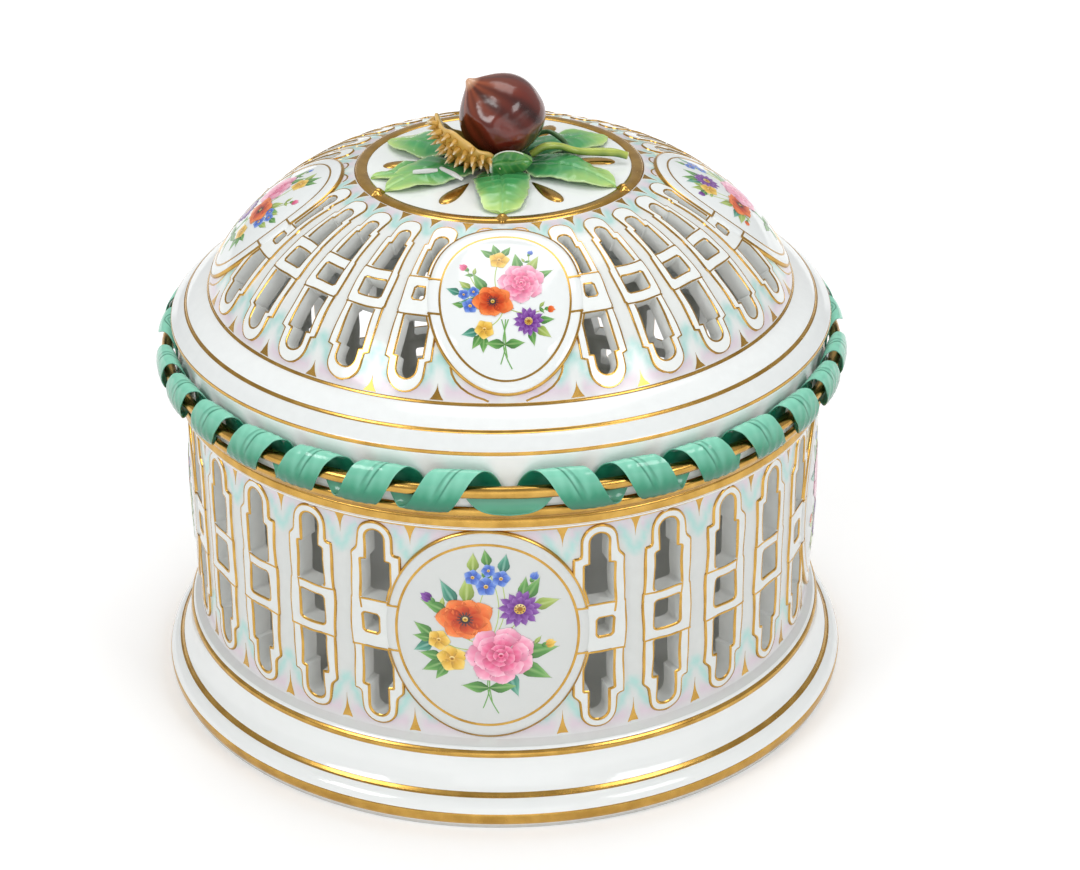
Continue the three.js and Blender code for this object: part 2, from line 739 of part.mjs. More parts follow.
// Assembly
addPiece(pot, 'base_plinth', basePlinth(), 'glaze');
addPiece(pot, 'pot_floor', potFloor(), 'glaze');
addPiece(pot, 'pierced_wall', piercedWall(), 'glaze');
addPiece(pot, 'pot_rim', potRim(), 'gold');
addPiece(lid, 'lid_flange', lidFlange(), 'glaze');
addPiece(lid, 'lid_cornice', lidCornice(), 'glaze');
addPiece(lid, 'pierced_dome', piercedDome(), 'glaze');
addPiece(lid, 'crown_plate', crownPlate(), 'glaze');
addPiece(lid, 'crown_ring', crownRing(), 'gold');
addPiece(lid, 'rim_rod', rimRod(), 'gold');

medallionSides.forEach((name, i) => {
  const angle = i * bay;
  const onDrum = (across, up, depth) => around(
    angle + across / drumRadius,
    drumRadius + depth,
    drumMiddle + up,
  );
  const onDome = (across, up, depth) => {
    const { radius, height } = domeAt(domeOvalAt + up, depth);
    return around(angle + across / radius, radius, height);
  };
  addPiece(pot, `wall_medallion_${name}`, ovalPlaque(drumOvalHalf, drumOvalRise, onDrum), 'glaze');
  addPiece(lid, `dome_medallion_${name}`, ovalPlaque(domeOvalHalf, domeOvalRise, onDome), 'glaze');
  addPiece(lid, `ribbon_${i + 1}`, loft(ribbonRings(i)), 'ribbon');
});

const leafPitch = (2 * Math.PI) / leafCount;
for (let i = 0; i < leafCount; i += 1) {
  addPiece(lid, `leaf_${i + 1}`, leaf(i * leafPitch), 'leaf');
  addPiece(lid, `gilt_ray_${i + 1}`, ray((i + 0.5) * leafPitch), 'gold');
}
beadPlaces.forEach((place, i) => addPiece(lid, `gilt_bead_${i + 1}`, bead(place * leafPitch), 'gold'));
addPiece(lid, 'stem_boss', stemBoss(), 'tendril');
addPiece(lid, 'bud_leaf', budLeaf(), 'leaf');
addPiece(lid, 'twig', seatNut(toSolid(stem(twigPoints, twigRadius))), 'twig');
addPiece(lid, 'tendril', seatNut(toSolid(stem(tendrilPoints, tendrilRadius))), 'tendril');
addPiece(lid, 'husk', husk(), 'husk');
addPiece(lid, 'chestnut', nut(), 'nut');

console.log(`least gap of a ribbon to itself: ${ribbonSelfGap().toFixed(1)} mm`);

const chestnutPot = new THREE.Group();
chestnutPot.add(pot, lid);
export default chestnutPot;
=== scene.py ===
import random
from math import asin, atan2, ceil, cos, degrees, dist, exp, hypot, pi, radians, sin, sqrt

import bpy
import numpy as np
from mathutils import Matrix, Vector
from mathutils.geometry import delaunay_2d_cdt


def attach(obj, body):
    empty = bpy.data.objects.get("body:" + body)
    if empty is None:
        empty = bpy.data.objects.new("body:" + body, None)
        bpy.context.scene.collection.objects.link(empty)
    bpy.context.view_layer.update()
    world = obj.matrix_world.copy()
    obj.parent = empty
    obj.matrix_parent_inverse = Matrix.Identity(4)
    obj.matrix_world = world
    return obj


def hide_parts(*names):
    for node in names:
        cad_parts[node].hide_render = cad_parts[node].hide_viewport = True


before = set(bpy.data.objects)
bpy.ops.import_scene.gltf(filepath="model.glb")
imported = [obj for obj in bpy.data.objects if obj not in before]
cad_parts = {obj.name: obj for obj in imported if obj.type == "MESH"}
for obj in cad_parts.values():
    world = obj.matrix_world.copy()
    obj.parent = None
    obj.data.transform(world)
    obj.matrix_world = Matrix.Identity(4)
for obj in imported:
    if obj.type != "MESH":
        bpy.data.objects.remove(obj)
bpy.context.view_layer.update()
mm = 0.001
lidTurn = radians(4)   # the lid stands a little round from the pot
print("stage: frame loaded")

# Camera, where the photograph was taken from
cameraSettings = {
    "lookAt": (0, 0, 0.08224),
    "distance": 0.97327,
    "azimuth": 3.0,
    "elevation": 27.546,
    "roll": -0.676,
    "lens": 93.3,
    "sensorWidth": 36.0,
    "shiftX": 0.03485,
}


def makeCamera(settings):
    azimuth = radians(settings["azimuth"])
    elevation = radians(settings["elevation"])
    away = Vector((
        cos(elevation) * sin(azimuth),
        -cos(elevation) * cos(azimuth),
        sin(elevation),
    ))
    place = Vector(settings["lookAt"]) + away * settings["distance"]
    turn = (-away).to_track_quat("-Z", "Y").to_matrix().to_4x4()
    camera = bpy.data.objects.new("camera", bpy.data.cameras.new("camera"))
    bpy.context.scene.collection.objects.link(camera)
    roll = Matrix.Rotation(radians(settings["roll"]), 4, "Z")
    camera.matrix_world = Matrix.Translation(place) @ turn @ roll
    camera.data.sensor_width = settings["sensorWidth"]
    camera.data.lens = settings["lens"]
    camera.data.shift_x = settings["shiftX"]
    bpy.context.scene.camera = camera


makeCamera(cameraSettings)


# Materials: an input takes a value, another node or one of its outputs
def feed(tree, node, inputs):
    for socket, value in inputs.items():
        if isinstance(value, bpy.types.Node):
            value = value.outputs[0]
        if isinstance(value, bpy.types.NodeSocket):
            tree.links.new(value, node.inputs[socket])
        else:
            node.inputs[socket].default_value = value


def addNode(tree, kind, inputs, **settings):
    node = tree.nodes.new(kind)
    for name, value in settings.items():
        setattr(node, name, value)
    feed(tree, node, inputs)
    return node


def newMaterial(name):
    material = bpy.data.materials.new(name)
    material.use_nodes = True
    return material, material.node_tree, material.node_tree.nodes["Principled BSDF"]


def noiseOf(tree, scale, detail=2.0):
    place = addNode(tree, "ShaderNodeTexCoord", {}).outputs["Object"]
    return addNode(tree, "ShaderNodeTexNoise", {"Vector": place, "Scale": scale, "Detail": detail})


def rangeOf(tree, value, low, high, fromLow=0.0, fromHigh=1.0):
    return addNode(tree, "ShaderNodeMapRange", {0: value, 1: fromLow, 2: fromHigh, 3: low, 4: high})


def mixOf(tree, share, first, second):
    first, second = ((*tone, 1) if isinstance(tone, tuple) else tone for tone in (first, second))
    return addNode(tree, "ShaderNodeMix", {0: share, 6: first, 7: second}, data_type="RGBA").outputs[2]


def bumpOf(tree, height, strength, distance):
    return addNode(tree, "ShaderNodeBump",
                   {"Strength": strength, "Distance": distance * mm, "Height": height})


# A fired glaze: its colour is given, or painted in the attribute "paint", and it thins and
# thickens a little. Its gloss has a low wave, given by scale and height.
glazeSettings = {
    "porcelain": {"light": (0.80, 0.825, 0.82), "deep": (0.75, 0.785, 0.78), "rough": (0.05, 0.12)},
    # The plinth and the crown plate are lighter copies of the porcelain: painted light on their well-lit
    # faces
    "plinth": {"light": (0.83, 0.85, 0.845), "deep": (0.79, 0.815, 0.81), "rough": (0.05, 0.12)},
    "crown": {"light": (0.87, 0.90, 0.885), "deep": (0.82, 0.865, 0.845), "rough": (0.05, 0.12)},
    # The pot's floor inside is a little darker and warmer than the porcelain: painted shade of the dim inside
    "inside": {"light": (0.79, 0.79, 0.76), "deep": (0.73, 0.73, 0.69), "rough": (0.06, 0.14)},
    # The drum's plaques are a darker copy of the porcelain: painted shade on their upright faces
    "plaque": {"light": (0.63, 0.645, 0.63), "deep": (0.60, 0.62, 0.605), "rough": (0.04, 0.09)},
    "bareFoot": {"light": (0.62, 0.61, 0.58), "deep": (0.5, 0.49, 0.46), "rough": (0.55, 0.75),
                 "wave": (500, 0.2)},
    "painted": {"rough": (0.08, 0.18)},
    "ribbon": {"rough": (0.08, 0.16)},
    "leaf": {"rough": (0.1, 0.22)},
}


def glazeMaterial(name):
    settings = glazeSettings[name]
    material, tree, shader = newMaterial(name)
    waveScale, waveHeight = settings.get("wave", (60, 0.08))
    broad = noiseOf(tree, waveScale)
    if "light" in settings:
        colour = mixOf(tree, broad, settings["light"], settings["deep"])
    else:
        paint = addNode(tree, "ShaderNodeAttribute", {}, attribute_name="paint")
        cloud = rangeOf(tree, noiseOf(tree, 300, 3.0), 0.96, 1.04)
        colour = addNode(tree, "ShaderNodeVectorMath", {0: paint, "Scale": cloud}, operation="SCALE")
    feed(tree, shader, {
        "Base Color": colour,
        "Specular IOR Level": settings.get("gloss", 0.5),
        "Roughness": rangeOf(tree, broad, *settings["rough"]),
        "Normal": bumpOf(tree, noiseOf(tree, waveScale * 3), 0.5, waveHeight),
    })
    return material


goldSettings = {"bright": (0.61, 0.365, 0.09), "worn": (0.43, 0.24, 0.05), "rough": (0.17, 0.32)}


def goldMaterial(settings):
    material, tree, shader = newMaterial("gold")
    thin = rangeOf(tree, noiseOf(tree, 160, 3.0), 0.0, 1.0, 0.35, 0.75)
    brush = noiseOf(tree, 350)
    feed(tree, shader, {
        "Metallic": 1.0,
        "Base Color": mixOf(tree, thin, settings["bright"], settings["worn"]),
        "Roughness": rangeOf(tree, brush, *settings["rough"]),
        "Normal": bumpOf(tree, brush, 0.25, 0.05),
    })
    return material


porcelain = glazeMaterial("porcelain")
litPlinthGlaze = glazeMaterial("plinth")
shadedPorcelain = glazeMaterial("plaque")
litCrownGlaze = glazeMaterial("crown")
shadedInsideGlaze = glazeMaterial("inside")
painted = glazeMaterial("painted")
bareGlaze = glazeMaterial("bareFoot")
gold = goldMaterial(goldSettings)
print("stage: materials made")


# Mesh helpers: points are in millimetres
def makeObject(name, points, faces, material, sharpAngle=None):
    mesh = bpy.data.meshes.new(name)
    mesh.from_pydata((np.asarray(points, float) * mm).tolist(), [], [list(face) for face in faces])
    mesh.update()
    obj = bpy.data.objects.new(name, mesh)
    bpy.context.scene.collection.objects.link(obj)
    mesh.materials.append(material)
    mesh.shade_smooth()
    if sharpAngle:
        mesh.set_sharp_from_angle(angle=radians(sharpAngle))
    return obj


def paintPoints(obj, colours):
    layer = obj.data.attributes.new("paint", "FLOAT_COLOR", "POINT")
    rgba = np.ones((len(colours), 4), np.float32)
    rgba[:, :3] = colours
    layer.data.foreach_set("color", rgba.ravel())


def tonesOf(s, *names):
    return [np.asarray(s[name]) for name in names]


def clamped(value):
    return min(1, max(0, value))


# A colour on its way to another one
def toward(colour, goal, share):
    return colour + (goal - colour) * share


def finishPiece(obj, body, slot, *nodes):
    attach(obj, body)
    if nodes:
        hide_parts(*nodes)
    return obj


def joinParts(parts):
    points, faces = [], []
    for partPoints, partFaces in parts:
        start = len(points)
        points.extend([tuple(p) for p in partPoints])
        faces.extend([tuple(i + start for i in face) for face in partFaces])
    return points, faces


# Rings of points joined into a skin: a ring of one point is a pole, the last ring joins the first
# where the skin is closed, and open ends are capped
def skin(rings, closed=False):
    sides = max(len(ring) for ring in rings)
    points, index = [], []
    for ring in rings:
        index.append([len(points) + i % len(ring) for i in range(sides)])
        points.extend(ring)
    faces = []
    for upper, lower in zip(index, index[1:] + (index[:1] if closed else [])):
        if upper[0] == upper[1] and lower[0] == lower[1]:
            continue
        for i in range(sides):
            k = (i + 1) % sides
            faces.append(tuple(dict.fromkeys((upper[i], lower[i], lower[k], upper[k]))))
    if not closed and len(rings[0]) > 1:
        faces.append(tuple(index[0]))
    if not closed and len(rings[-1]) > 1:
        faces.append(tuple(reversed(index[-1])))
    return points, faces


def flipped(faces):
    return [(face[0], *face[:0:-1]) for face in faces]


# The faces of a sheet of two layers of points, with a rim between them
def sheetFaces(rows, columns, start=0):
    width = columns + 1
    low = (rows + 1) * width
    faces = []
    for i in range(rows):
        for j in range(columns):
            a = start + i * width + j
            b, c, d = a + 1, a + width + 1, a + width
            faces += [(d, c, b, a), (a + low, b + low, c + low, d + low)]
    rim = [*range(width), *(i * width + columns for i in range(1, rows + 1))]
    rim += [*(rows * width + j for j in range(columns - 1, -1, -1)),
            *(i * width for i in range(rows - 1, 0, -1))]
    faces += [(start + a, start + b, start + b + low, start + a + low)
              for a, b in zip(rim, rim[1:] + rim[:1])]
    return faces


# A piece from its points, faces and, where it is painted, its colours
def addPiece(name, parts, material, body, slot, *nodes, sharpAngle=None):
    points, faces, *colours = parts
    obj = makeObject(name, points, faces, material, sharpAngle)
    if colours:
        paintPoints(obj, colours[0])
    return finishPiece(obj, body, slot, *nodes)


def around(angle, radius, height):
    return (radius * sin(angle), -radius * cos(angle), height)


# A bowed stretch of a profile, where a positive sag bulges to its left
def bow(start, end, sag, steps=8):
    (r0, z0), (r1, z1) = start, end
    across, down = r1 - r0, z1 - z0
    length = hypot(across, down)
    run = []
    for i in range(steps + 1):
        share = i / steps
        out = 4 * sag * share * (1 - share) / length
        run.append((r0 + across * share - down * out, z0 + down * share + across * out))
    return run


# Rounds the corners of a closed profile, where two straight stretches meet
def softened(profile, radius, steps=4, minTurn=25):
    soft = []
    count = len(profile)
    for i, point in enumerate(profile):
        here = Vector(point)
        before = Vector(profile[i - 1]) - here
        after = Vector(profile[(i + 1) % count]) - here
        turn = degrees(pi - before.angle(after, pi))
        if turn < minTurn or point[0] == 0:
            soft.append(point)
            continue
        first = here + before.normalized() * min(radius, 0.4 * before.length)
        last = here + after.normalized() * min(radius, 0.4 * after.length)
        for k in range(steps + 1):
            share = k / steps
            soft.append(tuple(first.lerp(here, share).lerp(here.lerp(last, share), share)))
    return soft


# A body turned about Z from a closed profile, given from the top down the outside
def turned(profile, segments=224):
    return skin([[around(2 * pi * i / segments, radius, height) for i in range(segments)]
                 if radius > 1e-6 else [(0, 0, height)] for radius, height in profile], closed=True)


# The stretch of a profile's outside that is centred on a level, from the top down
def stretchOf(profile, level, width, beyond):
    run = [p for p in densified(profile, 0.12) if p[0] > beyond]
    middle = min(range(len(run)), key=lambda i: abs(run[i][1] - level))
    lengths = np.concatenate([[0], np.cumsum([dist(a, b) for a, b in zip(run, run[1:])])])
    kept = [p for p, length in zip(run, lengths) if abs(length - lengths[middle]) <= width / 2]
    return kept[::max(1, len(kept) // 12)] + [kept[-1]]


# A gilt or glazed band over a stretch of the profile
def bandOver(path, proud=0.08, sunk=0.15):
    above, below = [], []
    for i, point in enumerate(path):
        before, after = Vector(path[max(i - 1, 0)]), Vector(path[min(i + 1, len(path) - 1)])
        along = (after - before).normalized()
        out = Vector((-along.y, along.x))
        above.append(tuple(Vector(point) + out * (proud if 0 < i < len(path) - 1 else 0)))
        below.append(tuple(Vector(point) - out * sunk))
    return turned(above + below[::-1])


def newTree(name, inputs, output):
    tree = bpy.data.node_groups.new(name, "GeometryNodeTree")
    for label, kind in inputs.items():
        tree.interface.new_socket(label, in_out="INPUT", socket_type="NodeSocket" + kind)
    tree.interface.new_socket(output, in_out="OUTPUT", socket_type="NodeSocketGeometry")
    return tree, tree.nodes.new("NodeGroupInput").outputs, tree.nodes.new("NodeGroupOutput")


# Repeats a cell round the pot: the tree's inputs are the copies, their turn and the finish
def roundTree():
    tree, given, made = newTree("repeatRound", {
        "Cell": "Geometry", "Copies": "Int", "First turn": "Float", "Joint width": "Float",
        "Finish": "Material",
    }, "Ring")
    step = addNode(tree, "ShaderNodeMath", {0: 2 * pi, 1: given["Copies"]}, operation="DIVIDE")
    index = addNode(tree, "GeometryNodeInputIndex", {})
    turn = addNode(tree, "ShaderNodeMath", {0: index, 1: step, 2: given["First turn"]},
                   operation="MULTIPLY_ADD")
    about = addNode(tree, "ShaderNodeCombineXYZ", {"Z": turn})
    place = addNode(tree, "GeometryNodeInstanceOnPoints", {
        "Points": addNode(tree, "GeometryNodePoints", {"Count": given["Copies"]}), "Instance": given["Cell"],
        "Rotation": addNode(tree, "FunctionNodeEulerToRotation", {0: about}),
    })
    solid = addNode(tree, "GeometryNodeRealizeInstances", {0: place})
    merge = addNode(tree, "GeometryNodeMergeByDistance",
                    {"Geometry": solid, "Distance": given["Joint width"]})
    feed(tree, made, {0: addNode(tree, "GeometryNodeSetMaterial",
                                 {"Geometry": merge, "Material": given["Finish"]})})
    return tree


# Runs a tree on an object and keeps its result as a plain mesh
def grown(obj, tree, values):
    modifier = obj.modifiers.new(tree.name, "NODES")
    modifier.node_group = tree
    for item in tree.interface.items_tree:
        if item.item_type == "SOCKET" and item.in_out == "INPUT" and item.name in values:
            modifier[item.identifier] = values[item.name]
    obj.update_tag()
    evaluated = obj.evaluated_get(bpy.context.evaluated_depsgraph_get())
    mesh = bpy.data.meshes.new_from_object(evaluated)
    obj.modifiers.remove(modifier)
    obj.data = mesh
    return obj


repeatRound = roundTree()


def ringOfCells(name, parts, material, copies, colours=None, sharpAngle=35, firstTurn=0.0):
    obj = makeObject(name, *parts, material, sharpAngle=sharpAngle)
    if colours is not None:
        paintPoints(obj, colours)
    values = {"Copies": copies, "First turn": firstTurn, "Joint width": 0.02 * mm, "Finish": material}
    return grown(obj, repeatRound, values)


# Flat outlines of the openwork, in millimetres, counterclockwise
def densified(path, spacing, closed=True):
    dense = []
    last = len(path) if closed else len(path) - 1
    for i in range(last):
        start, end = path[i], path[(i + 1) % len(path)]
        steps = max(1, ceil(dist(start, end) / spacing))
        dense.extend((start[0] + (end[0] - start[0]) * k / steps, start[1] + (end[1] - start[1]) * k / steps)
                     for k in range(steps))
    return dense if closed else dense + [path[-1]]


# Moves a path to its left, with mitred corners
def offsetPath(path, distance, closed=True):
    points = np.asarray(path, float)
    after = np.roll(points, -1, axis=0) - points
    before = points - np.roll(points, 1, axis=0)
    if not closed:
        after[-1] = before[-1]
        before[0] = after[0]
    after /= np.linalg.norm(after, axis=1)[:, None]
    before /= np.linalg.norm(before, axis=1)[:, None]
    leftAfter = np.stack([-after[:, 1], after[:, 0]], axis=1)
    leftBefore = np.stack([-before[:, 1], before[:, 0]], axis=1)
    mitre = (leftAfter + leftBefore) / np.maximum(0.5, 1 + np.sum(leftAfter * leftBefore, axis=1))[:, None]
    return points + mitre * distance


# Carries a section of [to the left, out] points along a path on a curved surface
def stripAlong(path, section, place, closed=True):
    rows = [[place(x, y, out) for x, y in offsetPath(path, left, closed)] for left, out in section]
    return skin(list(zip(*rows)), closed)


# A thin plate of gilding on an outline
def inlay(outline, place, low, high):
    count = len(outline)
    points = [place(x, y, high) for x, y in outline] + [place(x, y, low) for x, y in outline]
    faces = [tuple(range(count)), tuple(reversed(range(count, 2 * count)))]
    faces.extend((i + count, (i + 1) % count + count, (i + 1) % count, i) for i in range(count))
    return points, faces


def arc(centre, halfWidth, halfHeight, start, end, steps):
    return [(centre[0] + halfWidth * cos(radians(start + (end - start) * i / steps)),
             centre[1] + halfHeight * sin(radians(start + (end - start) * i / steps)))
            for i in range(steps + 1)]


def insideLoop(points, loop):
    inside = np.zeros(len(points), bool)
    x, y = points[:, 0], points[:, 1]
    for (x0, y0), (x1, y1) in zip(loop, list(loop[1:]) + [loop[0]]):
        if y0 == y1:
            continue
        crosses = (y0 > y) != (y1 > y)
        inside ^= crosses & (x < (x1 - x0) * (y - y0) / (y1 - y0) + x0)
    return inside


# The flat net of a panel: its outline and loops as fixed edges, with a grid of points between
def flatNet(border, loops, gridStep, gap):
    fixed, edges = [], []
    for loop in [border] + loops:
        start = len(fixed)
        fixed.extend((float(x), float(y)) for x, y in loop)
        edges.extend((start + i, start + (i + 1) % len(loop)) for i in range(len(loop)))
    fixedArray = np.asarray(fixed)
    low, high = fixedArray.min(0), fixedArray.max(0)
    columns = max(1, round((high[0] - low[0]) / gridStep))
    rows = max(1, round((high[1] - low[1]) / gridStep))
    grid = np.asarray([(low[0] + (high[0] - low[0]) * i / columns, low[1] + (high[1] - low[1]) * j / rows)
                       for i in range(1, columns) for j in range(1, rows)])
    nearest = np.min(np.linalg.norm(grid[:, None, :] - fixedArray[None, :, :], axis=2), axis=1)
    grid = grid[nearest > gap]
    vertices = [Vector(p) for p in fixed] + [Vector(p) for p in grid]
    net = delaunay_2d_cdt(vertices, edges, [], 0, 1e-5)
    place = {}
    for new, olds in enumerate(net[3]):
        for old in olds:
            place[old] = new
    flat = np.asarray([tuple(v) for v in net[0]])
    faces = []
    for face in net[2]:
        a, b, c = (flat[i] for i in face)
        area = (b[0] - a[0]) * (c[1] - a[1]) - (c[0] - a[0]) * (b[1] - a[1])
        if abs(area) > 1e-9:
            faces.append(tuple(face) if area > 0 else tuple(reversed(face)))
    return flat, faces, [place[i] for i in range(len(fixed))]


# The faces of a net whose middle is in none of the mouths
def outsideOf(mouths, flat, faces):
    centres = np.asarray([flat[list(face)].mean(0) for face in faces])
    hole = np.zeros(len(faces), bool)
    for mouth in mouths:
        hole |= insideLoop(centres, mouth)
    return [face for face, gone in zip(faces, hole) if not gone]


# A pierced panel with raised window frames. Each window has its frame's outline and its openings.
def piercedPanel(width, bottom, top, windows, place, s):
    border = densified([(0, bottom), (width, bottom), (width, top), (0, top)], s["edgeSpacing"])
    loops, levels, mouths, shoulders = [], [], [], []
    for window in windows:
        for distance, level in ((0, 0.0), (s["bevel"], s["rise"])):
            loops.append(offsetPath(window["outline"], distance))
            levels.append(level)
        shoulders.append(loops[-1])
        for opening in window["openings"]:
            for distance, level in ((-s["round"], s["rise"]), (0, s["rise"] - s["round"])):
                loops.append(offsetPath(opening, distance))
                levels.append(level)
            mouths.append(len(loops) - 1)
    flat, faces, index = flatNet(border, loops, s["gridStep"], s["gridStep"] * 0.42)
    out = np.zeros(len(flat))
    raised = np.zeros(len(flat), bool)
    for shoulder in shoulders:
        raised |= insideLoop(flat, shoulder)
    out[raised] = s["rise"]
    starts, start = [], len(border)
    for loop, level in zip(loops, levels):
        starts.append(start)
        out[[index[start + i] for i in range(len(loop))]] = level
        start += len(loop)
    faces = outsideOf([loops[m] for m in mouths], flat, faces)
    backFlat, backFaces, backIndex = flatNet(border, [loops[m] for m in mouths], s["backStep"],
                                             s["backStep"] * 0.4)
    backFaces = outsideOf([loops[m] for m in mouths], backFlat, backFaces)
    front = len(flat)
    faces.extend(tuple(front + i for i in reversed(face)) for face in backFaces)
    lips = np.zeros(len(backFlat), bool)
    lips[backIndex[len(border):]] = True
    backStart = len(border)
    for mouth in mouths:
        count = len(loops[mouth])
        for i in range(count):
            k = (i + 1) % count
            faces.append((index[starts[mouth] + i], index[starts[mouth] + k],
                          front + backIndex[backStart + k], front + backIndex[backStart + i]))
        backStart += count
    for i in range(len(border)):
        k = (i + 1) % len(border)
        if border[i][1] == border[k][1]:
            faces.append((index[k], index[i], front + backIndex[i], front + backIndex[k]))
    points = [place(x, y, o) for (x, y), o in zip(flat, out)]
    points += [place(x, y, -s["thickness"]) for x, y in backFlat]
    return points, faces, flat, out > s["rise"] * 0.1, lips


# Plinth, floor, rim, flange and cornice
turnedSettings = {
    "innerRadius": 101, "drumRadius": 107, "drumFoot": 26, "drumTop": 105, "drumFlare": 2.6,
    "rimRadius": 110.2, "potTop": 110.5, "domeFoot": (98, 144.3), "domeInner": 93,
}


def plinthProfile(s):
    neck, torusUpper, torusOuter = (s["drumRadius"] + 4.2, 24), (115, 11), (119.5, 5.5)
    return softened([
        (s["innerRadius"], s["drumFoot"]), (s["drumRadius"] + s["drumFlare"], s["drumFoot"]),
        *bow(neck, torusUpper, -1.6, 12),
        *bow((115.3, 10.6), torusOuter, 1.0, 10), (119.3, 3.2), (118.2, 1.3),
        (117.8, 0), (106.8, 0), (106.8, 8), (96, 8), (96, 13), (s["innerRadius"], 13),
    ], 0.6)


def floorProfile(s):
    return softened([(0, 18), (s["innerRadius"] - 0.1, 18), (s["innerRadius"] - 0.1, 13), (0, 13)], 0.5)


def rimProfile(s):
    top, radius = s["potTop"], s["rimRadius"]
    return softened([
        (s["innerRadius"], top), (radius - 1.1, top), (radius - 0.3, top - 0.4), (radius, top - 1.1),
        (radius, top - 3.6), *bow((radius - 0.5, top - 4.2), (s["drumRadius"] + 0.6, s["drumTop"] + 0.2),
                                  -0.5, 5),
        (s["drumRadius"], s["drumTop"] - 0.05), (s["innerRadius"], s["drumTop"] - 0.05),
    ], 0.3)


def flangeProfile(s):
    outer, inner = 100.4, 96.4
    return softened([
        (inner, s["potTop"]), (outer, s["potTop"]), (outer - 0.6, s["potTop"] - 7), (inner, s["potTop"] - 7),
    ], 0.8)


def corniceProfile(s):
    foot = s["domeFoot"]
    return softened([
        (s["domeInner"], foot[1]), foot,
        *bow((98.6, 143.4), (105.9, 138.9), 0.5, 6),
        *bow((106.3, 138.4), (109.9, 135.6), 0.25, 5),
        (111.3, 134.3), (111.4, 133.3),
        *bow((111.2, 132.6), (110.4, 116.3), -1.6, 14),
        *bow((110.7, 115.6), (111.4, 111.7), 1.2, 12),
        (111.1, 111.0), (110.3, s["potTop"] + 0.1), (109.0, s["potTop"]), (96.4, s["potTop"]), (96.4, 129.4),
    ], 0.5)


def addTurned(name, profile, material, body, slot, *nodes):
    return addPiece(name, turned(profile), material, body, slot, *nodes, sharpAngle=50)


addTurned("plinth_body", plinthProfile(turnedSettings), litPlinthGlaze, "pot", "glaze", "base_plinth")
addTurned("floor_disc", floorProfile(turnedSettings), shadedInsideGlaze, "pot", "glaze", "pot_floor")
addTurned("rim_band", rimProfile(turnedSettings), gold, "pot", "gold", "pot_rim")
addTurned("flange_body", flangeProfile(turnedSettings), porcelain, "lid", "glaze", "lid_flange")
# The cornice's tones by height, from each level up: the cavetto, lighter, as painted light in the shade under
# the cornice's lip; the band between the gold lines, darker; the top
corniceTones = [(0, (0.91, 0.94, 0.93)), (133.7, (0.74, 0.765, 0.76)), (138.6, (0.80, 0.825, 0.82))]
corniceBody = addTurned("cornice_body", corniceProfile(turnedSettings), painted, "lid", "glaze",
                        "lid_cornice")
paintPoints(corniceBody, [[tone for level, tone in corniceTones if point.co.z >= level * mm][-1]
                          for point in corniceBody.data.vertices])
print("stage: turned bodies made")

# Drum: a bay runs from one medallion's middle to the next
pitchCount = 28
medallionCount = 4
bayPitches = pitchCount // medallionCount
windowPlaces = (1.5, 2.5, 3.5, 4.5, 5.5)   # in pitches from the start of the bay
drum = {
    "radius": 107, "thickness": 6, "middle": 66.7, "bandHalf": 38.3, "bottom": 26, "flare": 2.6,
    "flareHeight": 2.4, "rise": 0.6, "bevel": 0.38, "round": 0.4, "edgeSpacing": 1.6, "gridStep": 1.7,
    "backStep": 4.0, "outerHalf": 8.9, "squareHalf": 9.3, "squareTo": 8.6, "outerArch": 6.3, "outerEnd": 37.7,
    "outerStep": 26.2, "wideHalf": 4.9, "archHalf": 3.1, "foot": 8.8, "step": 23.1, "end": 34.3,
    "keyHalf": 4.5, "keyRise": 5.2, "partKey": (-0.6, 3.2), "ovalHalf": 32.9, "ovalRise": 38.2,
    "ovalGap": 0.8, "innerHalf": 29.1, "innerRise": 33.3, "bandOut": 0.9, "crownOut": 2.2, "clearOf": 34.5,
    # The ground of the wash is the porcelain darkened: painted shade on the upright wall
    "wobble": 0.2, "lines": 0.9, "wash": ((0.63, 0.65, 0.635), 1.0, (3, 14, 0.5), (5, 17, 0.5)),
    "washTo": 76.6,
}
drum["pitch"] = 2 * pi * drum["radius"] / pitchCount
drum["darts"] = ((drum["bandHalf"] - 0.2, -7.2, 2.2), (-drum["bandHalf"] - 0.4, 9.4, 2.1))


# The cut edges wander a little, as they were cut by hand, but not beside the medallions
def wandered(x, y, s):
    width = bayPitches * s["pitch"]
    inBay = x % width
    clear = clamped((min(inBay, width - inBay) - s["clearOf"]) / 8)
    shift = sin(0.31 * inBay + 0.19 * y) + 0.7 * sin(0.83 * inBay - 0.37 * y + 1.3)
    return x + s["wobble"] * clear * shift, y + s["wobble"] * clear * sin(0.47 * inBay + 0.11 * y + 2.1)


def drumPlace(x, y, out):
    if abs(y) < drum["bandHalf"] - 1:
        x, y = wandered(x, y, drum)
    height = drum["middle"] + y
    low = max(0.0, drum["bottom"] + drum["flareHeight"] - height) / drum["flareHeight"]
    flare = drum["flare"] * low ** 1.5 if out > -drum["thickness"] / 2 else 0
    return around(x / drum["radius"], drum["radius"] + out + flare, height)


def mirrored(path):
    return [(x, -y) for x, y in reversed(path)]


def drumOutline(s):
    h, a, e, st, sq, sh = (s[k] for k in ("outerHalf", "outerArch", "outerEnd", "outerStep", "squareTo",
                                          "squareHalf"))
    upper = [(sh, 0), (sh, sq), (h, sq + 0.5), (h, st - 1.2), (a + 0.4, st + 1.0),
             *arc((0, e - a), a, a, 0, 180, 16), (-a, st + 0.2), (-h, st), (-h, sq + 0.5), (-sh, sq),
             (-sh, 0)]
    lower = [(-x, -y) for x, y in upper[1:-1]]
    return densified(softened(upper + lower, 0.8, 2, 30), s["edgeSpacing"])


